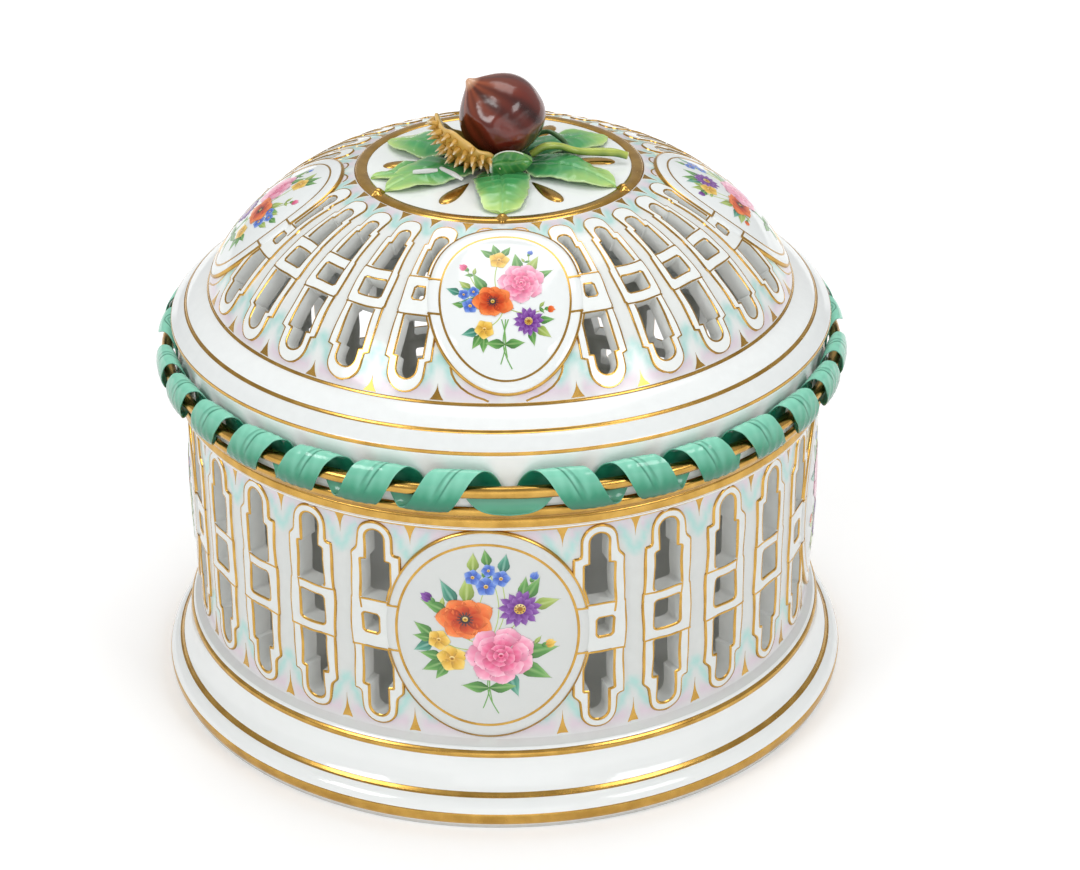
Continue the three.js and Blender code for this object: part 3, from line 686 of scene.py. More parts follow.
def cutByOval(path, s, fromOval, scale=lambda y: 1.0, middle=0.0):
    half, rise = s["ovalHalf"] + s["ovalGap"], s["ovalRise"] + s["ovalGap"]
    cut = []
    for x, y in densified(path, 0.5):
        share = min(1.0, abs((y - middle) / rise))
        edge = half * sqrt(1 - share ** 2) * scale(y) - fromOval
        point = (max(x, edge), y)
        if not cut or dist(point, cut[-1]) > 0.3:
            cut.append(point)
    return cut if dist(cut[0], cut[-1]) > 0.3 else cut[:-1]


def drumOpenings(s, fromOval=None):
    w, a, f, st, e = (s[k] for k in ("wideHalf", "archHalf", "foot", "step", "end"))
    upper = [(w - 1.0, f), (w, f + 0.6), (w, st), (a, st + 0.3), *arc((0, e - a), a, a, 0, 180, 12),
             (-a, st + 0.3), (-w, st), (-w, f + 1.2), (-w + 1.2, f)]
    keyFrom, rise = (-s["keyHalf"], s["keyRise"]) if fromOval is None else s["partKey"]
    k, c = s["keyHalf"], 0.6
    key = [(k - c, -rise), (k, -rise + c), (k, rise - c), (k - c, rise), (keyFrom + c, rise),
           (keyFrom, rise - c), (keyFrom, -rise + c), (keyFrom + c, -rise)]
    openings = [upper, mirrored(upper), key]
    if fromOval is not None:
        openings = [cutByOval(o, s, fromOval) for o in openings]
    return [densified(softened(o, 0.5, 2, 30), s["edgeSpacing"]) for o in openings]


# Windows of a bay: the outer two are cut by the medallions, and the last one is mirrored
def bayWindows(width, pitchWidth, outline, openingsAt):
    windows = []
    for place in windowPlaces:
        isOuter = place in (windowPlaces[0], windowPlaces[-1])
        loops = [outline] + openingsAt(1.5 * pitchWidth if isOuter else None)
        if isOuter and place > bayPitches / 2:
            loops = [[(-x, y) for x, y in reversed(loop)] for loop in loops]
        loops = [[(x + place * pitchWidth, y) for x, y in loop] for loop in loops]
        windows.append({"outline": loops[0], "openings": loops[1:]})
    return windows


drumWindows = bayWindows(bayPitches * drum["pitch"], drum["pitch"], drumOutline(drum),
                         lambda fromOval: drumOpenings(drum, fromOval))

# Pale washes on the ground between the frames: `depth` counts from the end of the band
washes = {
    "green": (0.36, 0.64, 0.60), "pink": (0.66, 0.53, 0.62), "frame": 1.1,
    # Behind the wall: the inside is painted shade, and the reveals of the openings are painted light
    "inside": (0.64, 0.645, 0.595), "litReveal": (0.86, 0.86, 0.83),
}


def washColours(ground, across, depth, legFrom, tip, spread):
    line = np.abs(np.abs(across) - np.clip((tip - depth) * spread, 0, None))
    green = np.exp(-(line / 1.45) ** 2) * (depth > legFrom - 2) * np.clip((tip + 1.5 - depth) / 2.5, 0, 1)
    green *= np.clip((depth - legFrom + 2) / 3, 0, 1)
    pink = np.exp(-((depth - 3.2) / 3.0) ** 2) * np.clip((np.abs(across) - 1.2) / 1.5, 0, 1)
    colours = np.tile(np.asarray(ground), (len(across), 1))
    for name, share in (("pink", pink * 0.75), ("green", green * 0.9)):
        colours += (np.asarray(washes[name]) - colours) * share[:, None]
    return colours


def acrossAt(s, x, y):
    return x if s is drum else domeAcross(x, y)


# The washes from the top and the bottom of a panel, over its ground. Behind, the edges of the openings are
# painted light, lighter than the porcelain, and the rest is painted shade.
def panelColours(flat, raised, lips, s, bottom):
    ground, stretch, upperWash, lowerWash = s["wash"]
    top = bottom + s["washTo"]
    across = ((flat[:, 0] / s["pitch"] + 0.5) % 1 - 0.5) * s["pitch"]
    across /= [acrossAt(s, 1.0, y) for y in flat[:, 1]]
    upper = flat[:, 1] > (bottom + top) / 2
    depth = np.where(upper, top - flat[:, 1], flat[:, 1] - bottom)
    colours = np.where(upper[:, None], washColours(ground, across, depth * stretch, *upperWash),
                       washColours(ground, across, np.where(upper, 99, depth), *lowerWash))
    colours[raised] = np.asarray(ground) * washes["frame"]
    return np.vstack([colours, np.where(lips[:, None], washes["litReveal"], washes["inside"])])


# A bay and its mirror image behind the seam, so that the pattern turns round at each medallion
def withMirror(parts, seam, colours=None):
    points, faces = parts
    across = Vector((cos(seam), sin(seam), 0))
    image = [tuple(Vector(p) - 2 * Vector(p).dot(across) * across) for p in points]
    both = joinParts([parts, (image, [tuple(reversed(face)) for face in faces])])
    return both if colours is None else (both, np.vstack([colours, colours]))


wallPoints, wallFaces, *wallMarks = piercedPanel(
    bayPitches * drum["pitch"], drum["bottom"] - drum["middle"], drum["bandHalf"],
    drumWindows, drumPlace, drum)
wallParts, wallColours = withMirror((wallPoints, wallFaces), pi / 2,
                                    panelColours(*wallMarks, drum, -drum["bandHalf"]))
drumWall = ringOfCells("drum_wall", wallParts, painted, medallionCount // 2, wallColours)
finishPiece(drumWall, "pot", "glaze", "pierced_wall")
print("stage: drum wall made,", len(drumWall.data.polygons), "faces")

# Gilding of the openwork
gilding = {"outline": 0.46, "inner": 0.4, "strap": 0.7, "ring": 0.9, "proud": 0.06}


def outlineSection(s):
    rise, proud = s["rise"], gilding["proud"]
    return [(-0.02, -0.1), (0.04, proud), (s["bevel"] * 0.5, rise * 0.55 + proud), (s["bevel"], rise + proud),
            (s["bevel"] + gilding["outline"] * s["lines"], rise + proud),
            (s["bevel"] + gilding["outline"] * s["lines"] + 0.05, rise - 0.1)]


def flatSection(low, high, out):
    proud = gilding["proud"]
    return [(low - 0.04, out - 0.12), (low, out + proud * 0.7), ((low + high) / 2, out + proud),
            (high, out + proud * 0.7), (high + 0.04, out - 0.12)]


# The gold on the lip of an opening, which rounds over into it
def lipSection(s):
    low, high = -s["round"] - gilding["inner"] * s["lines"], 0.02
    out, proud = s["rise"], gilding["proud"]
    return [(low - 0.04, out - 0.12), (low, out + proud * 0.7), ((low - s["round"]) / 2, out + proud),
            (-s["round"], out + proud), (high + 0.02, out - s["round"] + 0.06),
            (high - 0.1, out - s["round"] - 0.25)]


# The stretch of a loop that `keep` holds, as an open run
def openRun(loop, keep):
    kept = [keep(x, y) for x, y in loop]
    first = next(i for i in range(len(loop)) if kept[i] and not kept[i - 1])
    run = []
    for k in range(len(loop)):
        point = loop[(first + k) % len(loop)]
        if not keep(*point):
            break
        run.append(point)
    return run


# A window's lines: one strap crosses the frame, ends on its right inner line above the key and
# covers the lower opening's head
def windowLines(window, place, put, s, levels, half, outer, key):
    top, foot = levels
    width = gilding["strap"] * s["lines"]
    upper, lower, keyLoop = window["openings"]
    parts = [stripAlong(window["outline"], outlineSection(s), put), stripAlong(keyLoop, lipSection(s), put)]
    run = openRun(upper, lambda x, y: y > top + 0.45)
    parts.append(stripAlong([(place + half, top - 0.3)] + run, lipSection(s), put, False))
    run = openRun(lower, lambda x, y: y < foot - 0.25)
    parts.append(stripAlong(run, lipSection(s), put, False))
    for start, end in (((-outer(top), top), (half + 0.5, top)), ((-outer(foot), foot), (outer(foot), foot)),
                       ((half + 0.36, top), (key[0] + 0.36, key[1]))):
        path = densified([(start[0] + place, start[1] - 0.1), (end[0] + place, end[1] - 0.1)], 1.0,
                         closed=False)
        parts.append(stripAlong(path, flatSection(-width / 2, width / 2, s["rise"]), put, False))
    return parts


# A gilt dart with hollow sides, from its base to its tip
def dart(x, base, length, half, hollow):
    left = [(x - half * (1 - k / 6) ** hollow, base + length * k / 6) for k in range(6)]
    right = [(x + half * (k / 6) ** hollow, base + length * (1 - k / 6)) for k in range(1, 7)]
    outline = left + [(x, base + length)] + right
    return outline if length < 0 else outline[::-1]


# The darts of a panel, between its windows
def darts(s, place, hollow):
    return [inlay(dart(k * s["pitch"], base, length, acrossAt(s, half, base), hollow), place, -0.15, 0.1)
            for k in range(1, bayPitches) for base, length, half in s["darts"]]


def drumGilding():
    parts = []
    for place, window in zip(windowPlaces, drumWindows):
        parts.extend(windowLines(window, place * drum["pitch"], drumPlace, drum,
                                 (drum["foot"], -drum["foot"]), drum["wideHalf"],
                                 lambda y: drum["squareHalf"] - 0.3, (drum["keyHalf"], drum["keyRise"])))
    return joinParts(parts + darts(drum, drumPlace, 2.1))


drumGold = ringOfCells("drum_gilding", withMirror(drumGilding(), pi / 2), gold, medallionCount // 2,
                       sharpAngle=60)
finishPiece(drumGold, "pot", "gold")
print("stage: drum gilding made")


# Dome: places are given across, in millimetres at its middle radius, and along its slope
dome = {
    "footRadius": 98, "footLevel": 144.3, "crownRadius": 48, "crownLevel": 182.5, "bulge": 7, "thickness": 5,
    "rise": 0.55, "bevel": 0.25, "round": 0.25, "edgeSpacing": 1.6, "gridStep": 1.5, "backStep": 4.0,
    "outerTurn": 4.9, "wideTurn": 2.85, "from": 1.5, "to": 61.5, "lowOuterArch": 6.2, "topOuterArch": 4.2,
    "lowOuterStep": 11.8, "topOuterStep": 52.3, "keyOuter": (27.0, 38.8),
    "lower": (6.0, 12.9, 26.3), "lowArch": 3.1, "key": (29.8, 35.7), "upper": (39.5, 49.8, 56.1),
    "topArch": 2.2, "partKey": (-0.4, 3.0, 31.5), "ovalHalf": 24.6, "ovalRise": 29.7, "ovalAt": 31.9,
    "ovalGap": 0.8, "innerHalf": 20.4, "innerRise": 25.2, "bandOut": 0.85, "crownOut": 2.2, "clearOf": 26,
    # The ground of the wash is the porcelain darkened: painted shade on the dome
    "wobble": 0.16, "lines": 0.7, "wash": ((0.73, 0.755, 0.74), 1.4, (3, 12, 0.3), (5, 15, 0.5)),
}
chord = hypot(dome["footRadius"] - dome["crownRadius"], dome["crownLevel"] - dome["footLevel"])
dome["arcRadius"] = (chord ** 2 / 4 + dome["bulge"] ** 2) / (2 * dome["bulge"])
halfTurn = asin(chord / 2 / dome["arcRadius"])
slopeLean = atan2(dome["crownLevel"] - dome["footLevel"], dome["footRadius"] - dome["crownRadius"])
dome["start"] = pi / 2 - slopeLean - halfTurn
dome["length"] = dome["washTo"] = 2 * halfTurn * dome["arcRadius"]
dome["darts"] = ((0.3, 5.2, 2.2), (dome["length"] - 0.3, -4.6, 1.9))
dome["centre"] = (dome["footRadius"] - dome["arcRadius"] * cos(dome["start"]),
                  dome["footLevel"] - dome["arcRadius"] * sin(dome["start"]))


def domeAt(along, out=0.0):
    angle = dome["start"] + along / dome["arcRadius"]
    return (dome["centre"][0] + (dome["arcRadius"] + out) * cos(angle),
            dome["centre"][1] + (dome["arcRadius"] + out) * sin(angle))


dome["radius"] = domeAt(dome["ovalAt"])[0]
dome["pitch"] = 2 * pi * dome["radius"] / pitchCount


def domePlace(x, y, out):
    if 2 < y < 60:
        x, y = wandered(x, y, dome)
    return around(x / dome["radius"] + lidTurn, *domeAt(y, out))


# A distance across at a place on the slope, in the dome's own units
def domeAcross(x, along):
    return x * dome["radius"] / domeAt(along)[0]


def domeOutline(s):
    side = radians(s["outerTurn"]) * s["radius"]
    low, top, la, ta = s["from"], s["to"], s["lowOuterArch"], s["topOuterArch"]
    lowStep, topStep = s["lowOuterStep"], s["topOuterStep"]
    keyLow, keyTop = s["keyOuter"]
    lean = side + 0.35
    right = [(side, lowStep + 1.2), (side, keyLow - 0.5), (lean, keyLow), (lean, keyTop),
             (side, keyTop + 0.5), (side, topStep), (domeAcross(ta + 0.1, topStep), topStep + 0.4)]
    topArch = [(domeAcross(x, y), y) for x, y in arc((0, top - ta), ta, ta, 0, 180, 14)]
    lowArch = [(domeAcross(x, y), y) for x, y in arc((0, low + la), la, la, 180, 360, 16)]
    lowRight = [(domeAcross(la, lowStep - 0.6), lowStep - 0.6), (side, lowStep)]
    left = [(-x, y) for x, y in right[:0:-1]]
    left += [(-side, lowStep), (-domeAcross(la, lowStep - 0.6), lowStep - 0.6)]
    return densified(right + topArch + left + lowArch + lowRight, s["edgeSpacing"])


def domeOpenings(s, fromOval=None):
    wide = radians(s["wideTurn"]) * s["radius"]
    end, step, foot = s["lower"]
    a = s["lowArch"]
    lower = [(domeAcross(x, y), y) for x, y in arc((0, end + a), a, a, 180, 360, 12)]
    lower += [(domeAcross(a, step - 0.3), step - 0.3), (wide, step), (wide, foot - 0.6), (wide - 0.8, foot),
              (0.8 - wide, foot), (-wide, foot - 0.6), (-wide, step),
              (-domeAcross(a, step - 0.3), step - 0.3)]
    foot, step, end = s["upper"]
    a = s["topArch"]
    upper = [(wide - 0.8, foot), (wide, foot + 0.6), (wide, step), (domeAcross(a, step + 0.3), step + 0.3)]
    upper += [(domeAcross(x, y), y) for x, y in arc((0, end - a), a, a, 0, 180, 10)]
    upper += [(-domeAcross(a, step + 0.3), step + 0.3), (-wide, step), (-wide, foot + 0.6),
              (0.8 - wide, foot)]
    keyFrom, keyTo = (-wide, wide) if fromOval is None else s["partKey"][:2]
    low, high = s["key"] if fromOval is None else (s["partKey"][2], s["key"][1])
    c = 0.5
    key = [(keyTo - c, low), (keyTo, low + c), (keyTo, high - c), (keyTo - c, high), (keyFrom + c, high),
           (keyFrom, high - c), (keyFrom, low + c), (keyFrom + c, low)]
    openings = [upper, lower, key]
    if fromOval is not None:
        openings = [cutByOval(o, s, fromOval, lambda y: s["radius"] / domeAt(y)[0], s["ovalAt"])
                    for o in openings]
    return [densified(o, s["edgeSpacing"]) for o in openings]


domeWindows = bayWindows(bayPitches * dome["pitch"], dome["pitch"], domeOutline(dome),
                         lambda fromOval: domeOpenings(dome, fromOval))


domePoints, domeFaces, *domeMarks = piercedPanel(
    bayPitches * dome["pitch"], 0.0, dome["length"], domeWindows, domePlace, dome)
domeSeam = pi / 2 + lidTurn
domeParts, domeTints = withMirror((domePoints, domeFaces), domeSeam, panelColours(*domeMarks, dome, 0.0))
domeShell = ringOfCells("dome_shell", domeParts, painted, medallionCount // 2, domeTints, firstTurn=pi / 2)
finishPiece(domeShell, "lid", "glaze", "pierced_dome")


# Small gilt scrolls under and over the medallion, given for its right half
domeScrolls = [
    [(17.4, 10.8), (17.0, 8.6), (15.9, 6.4), (14.2, 4.5), (12.0, 3.0), (9.6, 1.9), (7.4, 1.2), (5.8, 0.5)],
    [(2.4, 61.4), (3.2, 62.1), (4.6, 62.6), (6.2, 62.4), (7.4, 61.7), (8.2, 60.6)],
]


def domeGilding():
    parts = []
    side = radians(dome["outerTurn"]) * dome["radius"]
    half = radians(dome["wideTurn"]) * dome["radius"]
    for place, window in zip(windowPlaces, domeWindows):
        parts.extend(windowLines(window, place * dome["pitch"], domePlace, dome,
                                 (dome["upper"][0], dome["lower"][2]), half, lambda y: side,
                                 (half, dome["key"][1])))
    parts += darts(dome, domePlace, 1.9)
    for scroll in domeScrolls:
        for end, sign in ((0, 1), (bayPitches * dome["pitch"], -1)):
            path = [(end + sign * domeAcross(x, y), y) for x, y in scroll]
            parts.append(stripAlong(path[::sign], flatSection(-0.3, 0.3, 0.0), domePlace, False))
    return joinParts(parts)


domeGold = ringOfCells("dome_gilding", withMirror(domeGilding(), domeSeam), gold, medallionCount // 2,
                       sharpAngle=60, firstTurn=pi / 2)
finishPiece(domeGold, "lid", "gold")
print("stage: dome made")


# Medallions: a crowned plaque in a raised band, with a gold line inside and outside the band
def plaqueRows(s):
    inner = s["innerHalf"] / s["ovalHalf"]
    rows = [(0.0, s["crownOut"])]
    for i in range(1, 9):
        share = i / 8
        rows.append((share * (inner - 0.03), 1.0 + (s["crownOut"] - 1.0) * (1 - share ** 2)))
    rows += [(inner - 0.015, 0.92), (inner + 0.01, 1.05)]
    for i in range(1, 6):
        rows.append((inner + 0.015 + (0.96 - inner) * i / 6, s["bandOut"] + 0.22 * sin(pi * i / 6)))
    return rows + [(0.985, s["bandOut"] - 0.1), (0.996, s["bandOut"] - 0.45), (1.0, -0.15), (0.9, -0.15),
                   (0.5, -0.15), (0.0, -0.15)]


def plaque(s, place, middle, sides=112):
    rings = []
    for share, out in plaqueRows(s):
        ring = []
        for i in range(sides if share else 1):
            turn = 2 * pi * i / sides
            y = middle + s["ovalRise"] * share * sin(turn)
            x = s["ovalHalf"] * share * cos(turn)
            ring.append(place(acrossAt(s, x, y), y, out))
        rings.append(ring)
    return skin(rings)


def ovalPath(s, half, rise, middle, start=0.0, end=360.0, steps=128):
    run = arc((0, middle), half, rise, start, end, steps)
    return [(acrossAt(s, x, y), y) for x, y in (run[:-1] if end - start == 360 else run)]


def ovalGilding(s, place, middle, strapHalf, strapMiddle=0.0):
    width = gilding["ring"] * s["lines"]
    level = s["bandOut"]
    parts = [stripAlong(ovalPath(s, s["innerHalf"], s["innerRise"], middle),
                        flatSection(-width / 2, width / 2, 1.02), place)]
    gap = degrees(asin((strapHalf + strapMiddle) / s["ovalRise"]))
    foot = degrees(asin((strapHalf - strapMiddle) / s["ovalRise"]))
    for start, end in ((gap, 180 - gap), (180 + foot, 360 - foot)):
        path = ovalPath(s, s["ovalHalf"] - 0.25, s["ovalRise"] - 0.25, middle, start, end, 96)
        parts.append(stripAlong(path, [(-0.35, -0.1), (-0.3, level * 0.45), (-0.1, level * 0.9),
                                       (0.5, level + 0.15), (0.55, level - 0.1)],
                                place, False))
    for side in (-1, 1):
        for y in (strapMiddle + strapHalf, strapMiddle - strapHalf):
            outer, inner = (half * sqrt(1 - (y / rise) ** 2) for half, rise in
                            ((s["ovalHalf"], s["ovalRise"]), (s["innerHalf"], s["innerRise"])))
            run = densified([(side * inner, middle + y), (side * outer, middle + y)], 0.8, False)
            run = [(acrossAt(s, px, py), py) for px, py in run]
            parts.append(stripAlong(run, flatSection(-0.35, 0.35, level + 0.2), place, False))
    return joinParts(parts)


# Turns a place from the front to one of the four sides
def onSide(place, s, side):
    turn = side * pi / 2 * s["radius"]
    return lambda x, y, out: place(x + turn, y, out)


def medallions(name, s, place, middle, strap, body, glaze):
    node = {"pot": "wall", "lid": "dome"}[body]
    for i, side in enumerate(("front", "right", "back", "left")):
        put = onSide(place, s, i)
        addPiece(f"{name}_plaque_{side}", plaque(s, put, middle), glaze, body, "glaze",
                 f"{node}_medallion_{side}")
        addPiece(f"{name}_plaque_gold_{side}", ovalGilding(s, put, middle, *strap), gold, body, "gold",
                 sharpAngle=60)


medallions("drum", drum, drumPlace, 0.0, (8.2, 0.0), "pot", shadedPorcelain)
medallions("dome", dome, domePlace, dome["ovalAt"], (5.9, 1.0), "lid", porcelain)
print("stage: medallions made")

# Bouquets in enamel colours, of a generic design: thin petals laid over one another
enamels = {
    "pink": ((0.40, 0.01, 0.05), (0.80, 0.12, 0.28), (0.88, 0.50, 0.62)),
    "rose": ((0.62, 0.05, 0.15), (0.84, 0.26, 0.42), (0.92, 0.72, 0.78)),
    "ember": ((0.22, 0.006, 0.0), (0.62, 0.05, 0.006), (0.86, 0.26, 0.06)),
    "orange": ((0.42, 0.02, 0.005), (0.82, 0.13, 0.02), (0.90, 0.36, 0.11)),
    "blue": ((0.02, 0.05, 0.38), (0.08, 0.19, 0.64), (0.42, 0.56, 0.84)),
    "purple": ((0.06, 0.005, 0.12), (0.17, 0.03, 0.29), (0.42, 0.24, 0.56)),
    "yellow": ((0.50, 0.20, 0.01), (0.84, 0.52, 0.06), (0.90, 0.76, 0.32)),
    "green": ((0.02, 0.12, 0.02), (0.10, 0.32, 0.07), (0.40, 0.58, 0.24)),
    "teal": ((0.01, 0.10, 0.07), (0.05, 0.28, 0.19), (0.38, 0.64, 0.52)),
    "lime": ((0.14, 0.24, 0.02), (0.36, 0.48, 0.10), (0.62, 0.70, 0.34)),
    "stamen": ((0.30, 0.12, 0.01), (0.70, 0.42, 0.06), (0.86, 0.70, 0.30)),
    "ink": ((0.01, 0.01, 0.02), (0.04, 0.02, 0.03), (0.12, 0.08, 0.06)),
}
enamelSettings = {"first": 0.05, "step": 0.0035, "thin": 0.03, "stem": 0.36}
glazeSettings["enamel"] = {"rough": (0.08, 0.18), "wave": (90, 0.05)}
bouquetGlaze = glazeMaterial("enamel")


def plaqueLevel(s, x, y):
    share = hypot(x / s["ovalHalf"], y / s["ovalRise"]) / (s["innerHalf"] / s["ovalHalf"] - 0.03)
    return 1.0 + (s["crownOut"] - 1.0) * max(0.0, 1 - share ** 2)


# One petal or leaf: `widest` is where along it the petal is widest, `lobes` cuts its rim
def petal(spot, angle, length, width, tone, widest=0.64, lobes=0.0, rib=0.0, rows=8, columns=6,
          pointed=False):
    heart, body, edge = (np.asarray(c) for c in enamels[tone])
    ahead, aside = (cos(angle), sin(angle)), (-sin(angle), cos(angle))
    points, colours = [], []
    for i in range(rows + 1):
        t = 0.5 - 0.5 * cos(pi * i / rows)
        if t < widest:
            half = width / 2 * max(0.08, sin(pi / 2 * t / widest) ** 0.85)
        else:
            past = (t - widest) / (1 - widest)
            half = width / 2 * max(0.03, 1 - past ** 1.5 if pointed else sqrt(1 - min(1, past) ** 2))
        for j in range(columns + 1):
            u = 2 * j / columns - 1
            along = length * t * (1 - 0.10 * u * u + lobes * 0.07 * cos(3 * pi * u))
            side = half * u * (1 + lobes * 0.16 * cos(5 * pi * t))
            points.append((spot[0] + ahead[0] * along + aside[0] * side,
                           spot[1] + ahead[1] * along + aside[1] * side))
            colour = toward(heart, body, min(1, 0.05 + 1.35 * t))
            light = min(1, max(0, (t - 0.62) * 1.3) + 0.4 * max(0, u) * t + 0.14 * sin(8 * u + 3 * t))
            colour = toward(colour, edge, max(0, light))
            colour = toward(colour, edge, rib * exp(-(u / 0.16) ** 2) * (1 - t))
            colours.append(colour * (1 - 0.4 * max(0, -u) * (1 - 0.6 * t)))
    return points, (rows, columns), colours


def stepFrom(spot, reach, angle):
    return spot[0] + reach * cos(angle), spot[1] + reach * sin(angle)


def disc(spot, radius, tone):
    heart, body, edge = (np.asarray(c) for c in enamels[tone])
    rows, columns = 3, 12
    points, colours = [], []
    for i in range(rows + 1):
        for j in range(columns + 1):
            turn = 2 * pi * j / columns
            share = 0.02 + 0.98 * i / rows
            points.append(stepFrom(spot, radius * share, turn))
            colours.append(toward(body, edge, max(0, sin(turn))) if share > 0.4 else heart)
    return points, (rows, columns), colours


def stem(start, end, bend, width, tone):
    body, edge = (np.asarray(c) for c in enamels[tone][1:])
    steps = 12
    length = dist(start, end)
    across = ((end[1] - start[1]) / length, -(end[0] - start[0]) / length)
    points, colours = [], []
    run = []
    for i in range(steps + 1):
        t = i / steps
        sway = bend * length * sin(pi * t)
        run.append((start[0] + (end[0] - start[0]) * t + across[0] * sway,
                    start[1] + (end[1] - start[1]) * t + across[1] * sway))
    for i, (x, y) in enumerate(run):
        before, after = run[max(0, i - 1)], run[min(steps, i + 1)]
        stretch = dist(before, after)
        side = (-(after[1] - before[1]) / stretch, (after[0] - before[0]) / stretch)
        for u in (-1, 0, 1):
            points.append((x + side[0] * width / 2 * u, y + side[1] * width / 2 * u))
            colours.append(toward(body, edge, (0.25 + 0.25 * u)))
    return points, (steps, 2), colours


# Flowers: each gives its strokes from the lowest to the topmost
def fullRose(spot, size, turn, tone, chance):
    strokes = []
    for count, far, length, width, tint in ((7, 0.34, 0.70, 0.74, "rose"), (6, 0.26, 0.56, 0.66, "rose"),
                                            (5, 0.16, 0.46, 0.56, tone), (5, 0.08, 0.34, 0.42, tone),
                                            (4, 0.0, 0.24, 0.30, tone)):
        tint = tint if tone == "pink" else tone
        for k in range(count):
            angle = turn + 2 * pi * k / count + far * 9 + chance.uniform(-0.14, 0.14)
            base = (spot[0] + size * far * cos(angle), spot[1] + size * far * sin(angle) * 0.9)
            strokes.append(petal(base, angle, size * length * chance.uniform(0.92, 1.06), size * width, tint,
                                 0.7, 0.25))
    return strokes + [disc(spot, size * 0.09, tone)]


def openBloom(spot, size, turn, tone, chance):
    strokes = []
    for count, length, width, tint in ((7, 1.0, 0.8, tone),
                                       (6, 0.74, 0.62, "ember" if tone == "orange" else tone)):
        for k in range(count):
            angle = turn + 2 * pi * (k + 0.5 * (count == 6)) / count + chance.uniform(-0.1, 0.1)
            reach = size * length * (0.86 + 0.14 * cos(2 * angle)) * chance.uniform(0.94, 1.05)
            strokes.append(petal(spot, angle, reach, size * width, tint, 0.68, 0.8))
    strokes.append(disc(spot, size * 0.17, "ink"))
    for k in range(13):
        angle = turn + 2 * pi * k / 13
        base = stepFrom(spot, size * 0.1, angle)
        strokes.append(petal(base, angle, size * 0.2, size * 0.05, "ink", 0.8, rows=3, columns=2))
    return strokes + [disc(spot, size * 0.09, "stamen")]


def starBloom(spot, size, turn, tone, chance):
    strokes = []
    for count, length in ((13, 1.0), (10, 0.72)):
        for k in range(count):
            angle = turn + 2 * pi * k / count + chance.uniform(-0.05, 0.05)
            strokes.append(petal(spot, angle, size * length * chance.uniform(0.93, 1.05), size * 0.38, tone,
                                 0.72, 0.3, rows=5, columns=4))
    strokes.append(disc(spot, size * 0.27, "stamen"))
    for k in range(9):
        angle = 2 * pi * k / 9
        strokes.append(disc(stepFrom(spot, size * 0.2, angle), size * 0.035, "ink"))
    return strokes


def fiveBloom(spot, size, turn, tone, chance):
    strokes = [petal(spot, turn + 2 * pi * k / 5 + chance.uniform(-0.06, 0.06), size, size * 0.95, tone, 0.62,
                     0.2, rows=6, columns=5) for k in range(5)]
    return strokes + [disc(spot, size * 0.2, "stamen")]


def budFlower(spot, size, turn, tone, chance):
    strokes = [petal(spot, turn + lean, size * long, size * 0.5, tone, 0.55, 0.2, rows=6, columns=4)
               for lean, long in ((0.36, 0.85), (-0.36, 0.85), (0.0, 1.0))]
    base = stepFrom(spot, -0.25 * size, turn)
    strokes.extend(petal(base, turn + lean, size * 0.55, size * 0.26, "green", 0.5, rows=5, columns=4,
                         pointed=True)
                   for lean in (0.4, -0.4))
    return strokes


flowerKinds = {"rose": fullRose, "open": openBloom, "star": starBloom, "five": fiveBloom, "bud": budFlower}

# Each flower: kind, enamel, place across and up as shares of the plaque's inner oval, size, turn in degrees
bouquets = {
    "meadow": [
        ("bud", "purple", -0.62, 0.40, 0.17, 150), ("bud", "yellow", 0.66, -0.10, 0.15, 10),
        ("bud", "blue", 0.52, 0.66, 0.13, 60), ("five", "blue", 0.00, 0.60, 0.137, 20),
        ("five", "blue", 0.17, 0.69, 0.117, 70), ("five", "blue", -0.15, 0.70, 0.111, 10),
        ("five", "blue", 0.03, 0.78, 0.091, 40), ("five", "yellow", -0.40, -0.26, 0.196, 30),
        ("five", "yellow", -0.55, -0.05, 0.149, 65), ("star", "purple", 0.38, 0.34, 0.262, 10),
        ("open", "orange", -0.24, 0.22, 0.375, 25), ("rose", "pink", 0.16, -0.20, 0.422, 0),
    ],
    "garden": [
        ("bud", "pink", 0.60, 0.46, 0.17, 40), ("bud", "orange", -0.66, -0.14, 0.15, 190),
        ("bud", "blue", -0.40, 0.70, 0.12, 120), ("five", "blue", 0.56, -0.08, 0.143, 20),
        ("five", "blue", 0.66, 0.08, 0.104, 50), ("five", "blue", 0.50, 0.12, 0.104, 10),
        ("five", "yellow", 0.08, 0.62, 0.184, 30), ("five", "yellow", 0.34, -0.40, 0.172, 65),
        ("star", "purple", -0.36, -0.30, 0.256, 40), ("rose", "pink", -0.26, 0.24, 0.397, 30),
        ("open", "orange", 0.20, -0.02, 0.362, 0),
    ],
    "hedge": [
        ("bud", "yellow", -0.60, 0.34, 0.16, 160), ("bud", "purple", 0.62, 0.50, 0.16, 50),
        ("bud", "orange", 0.68, -0.20, 0.14, -10), ("five", "blue", -0.50, 0.62, 0.13, 0),
        ("five", "blue", -0.34, 0.70, 0.111, 30), ("five", "blue", -0.38, 0.52, 0.104, 15),
        ("five", "yellow", 0.40, 0.46, 0.184, 10), ("star", "purple", 0.10, 0.50, 0.256, 20),
        ("five", "blue", -0.56, -0.22, 0.143, 35), ("open", "orange", 0.32, -0.04, 0.35, 50),
        ("rose", "pink", -0.18, -0.06, 0.409, 15),
    ],
}


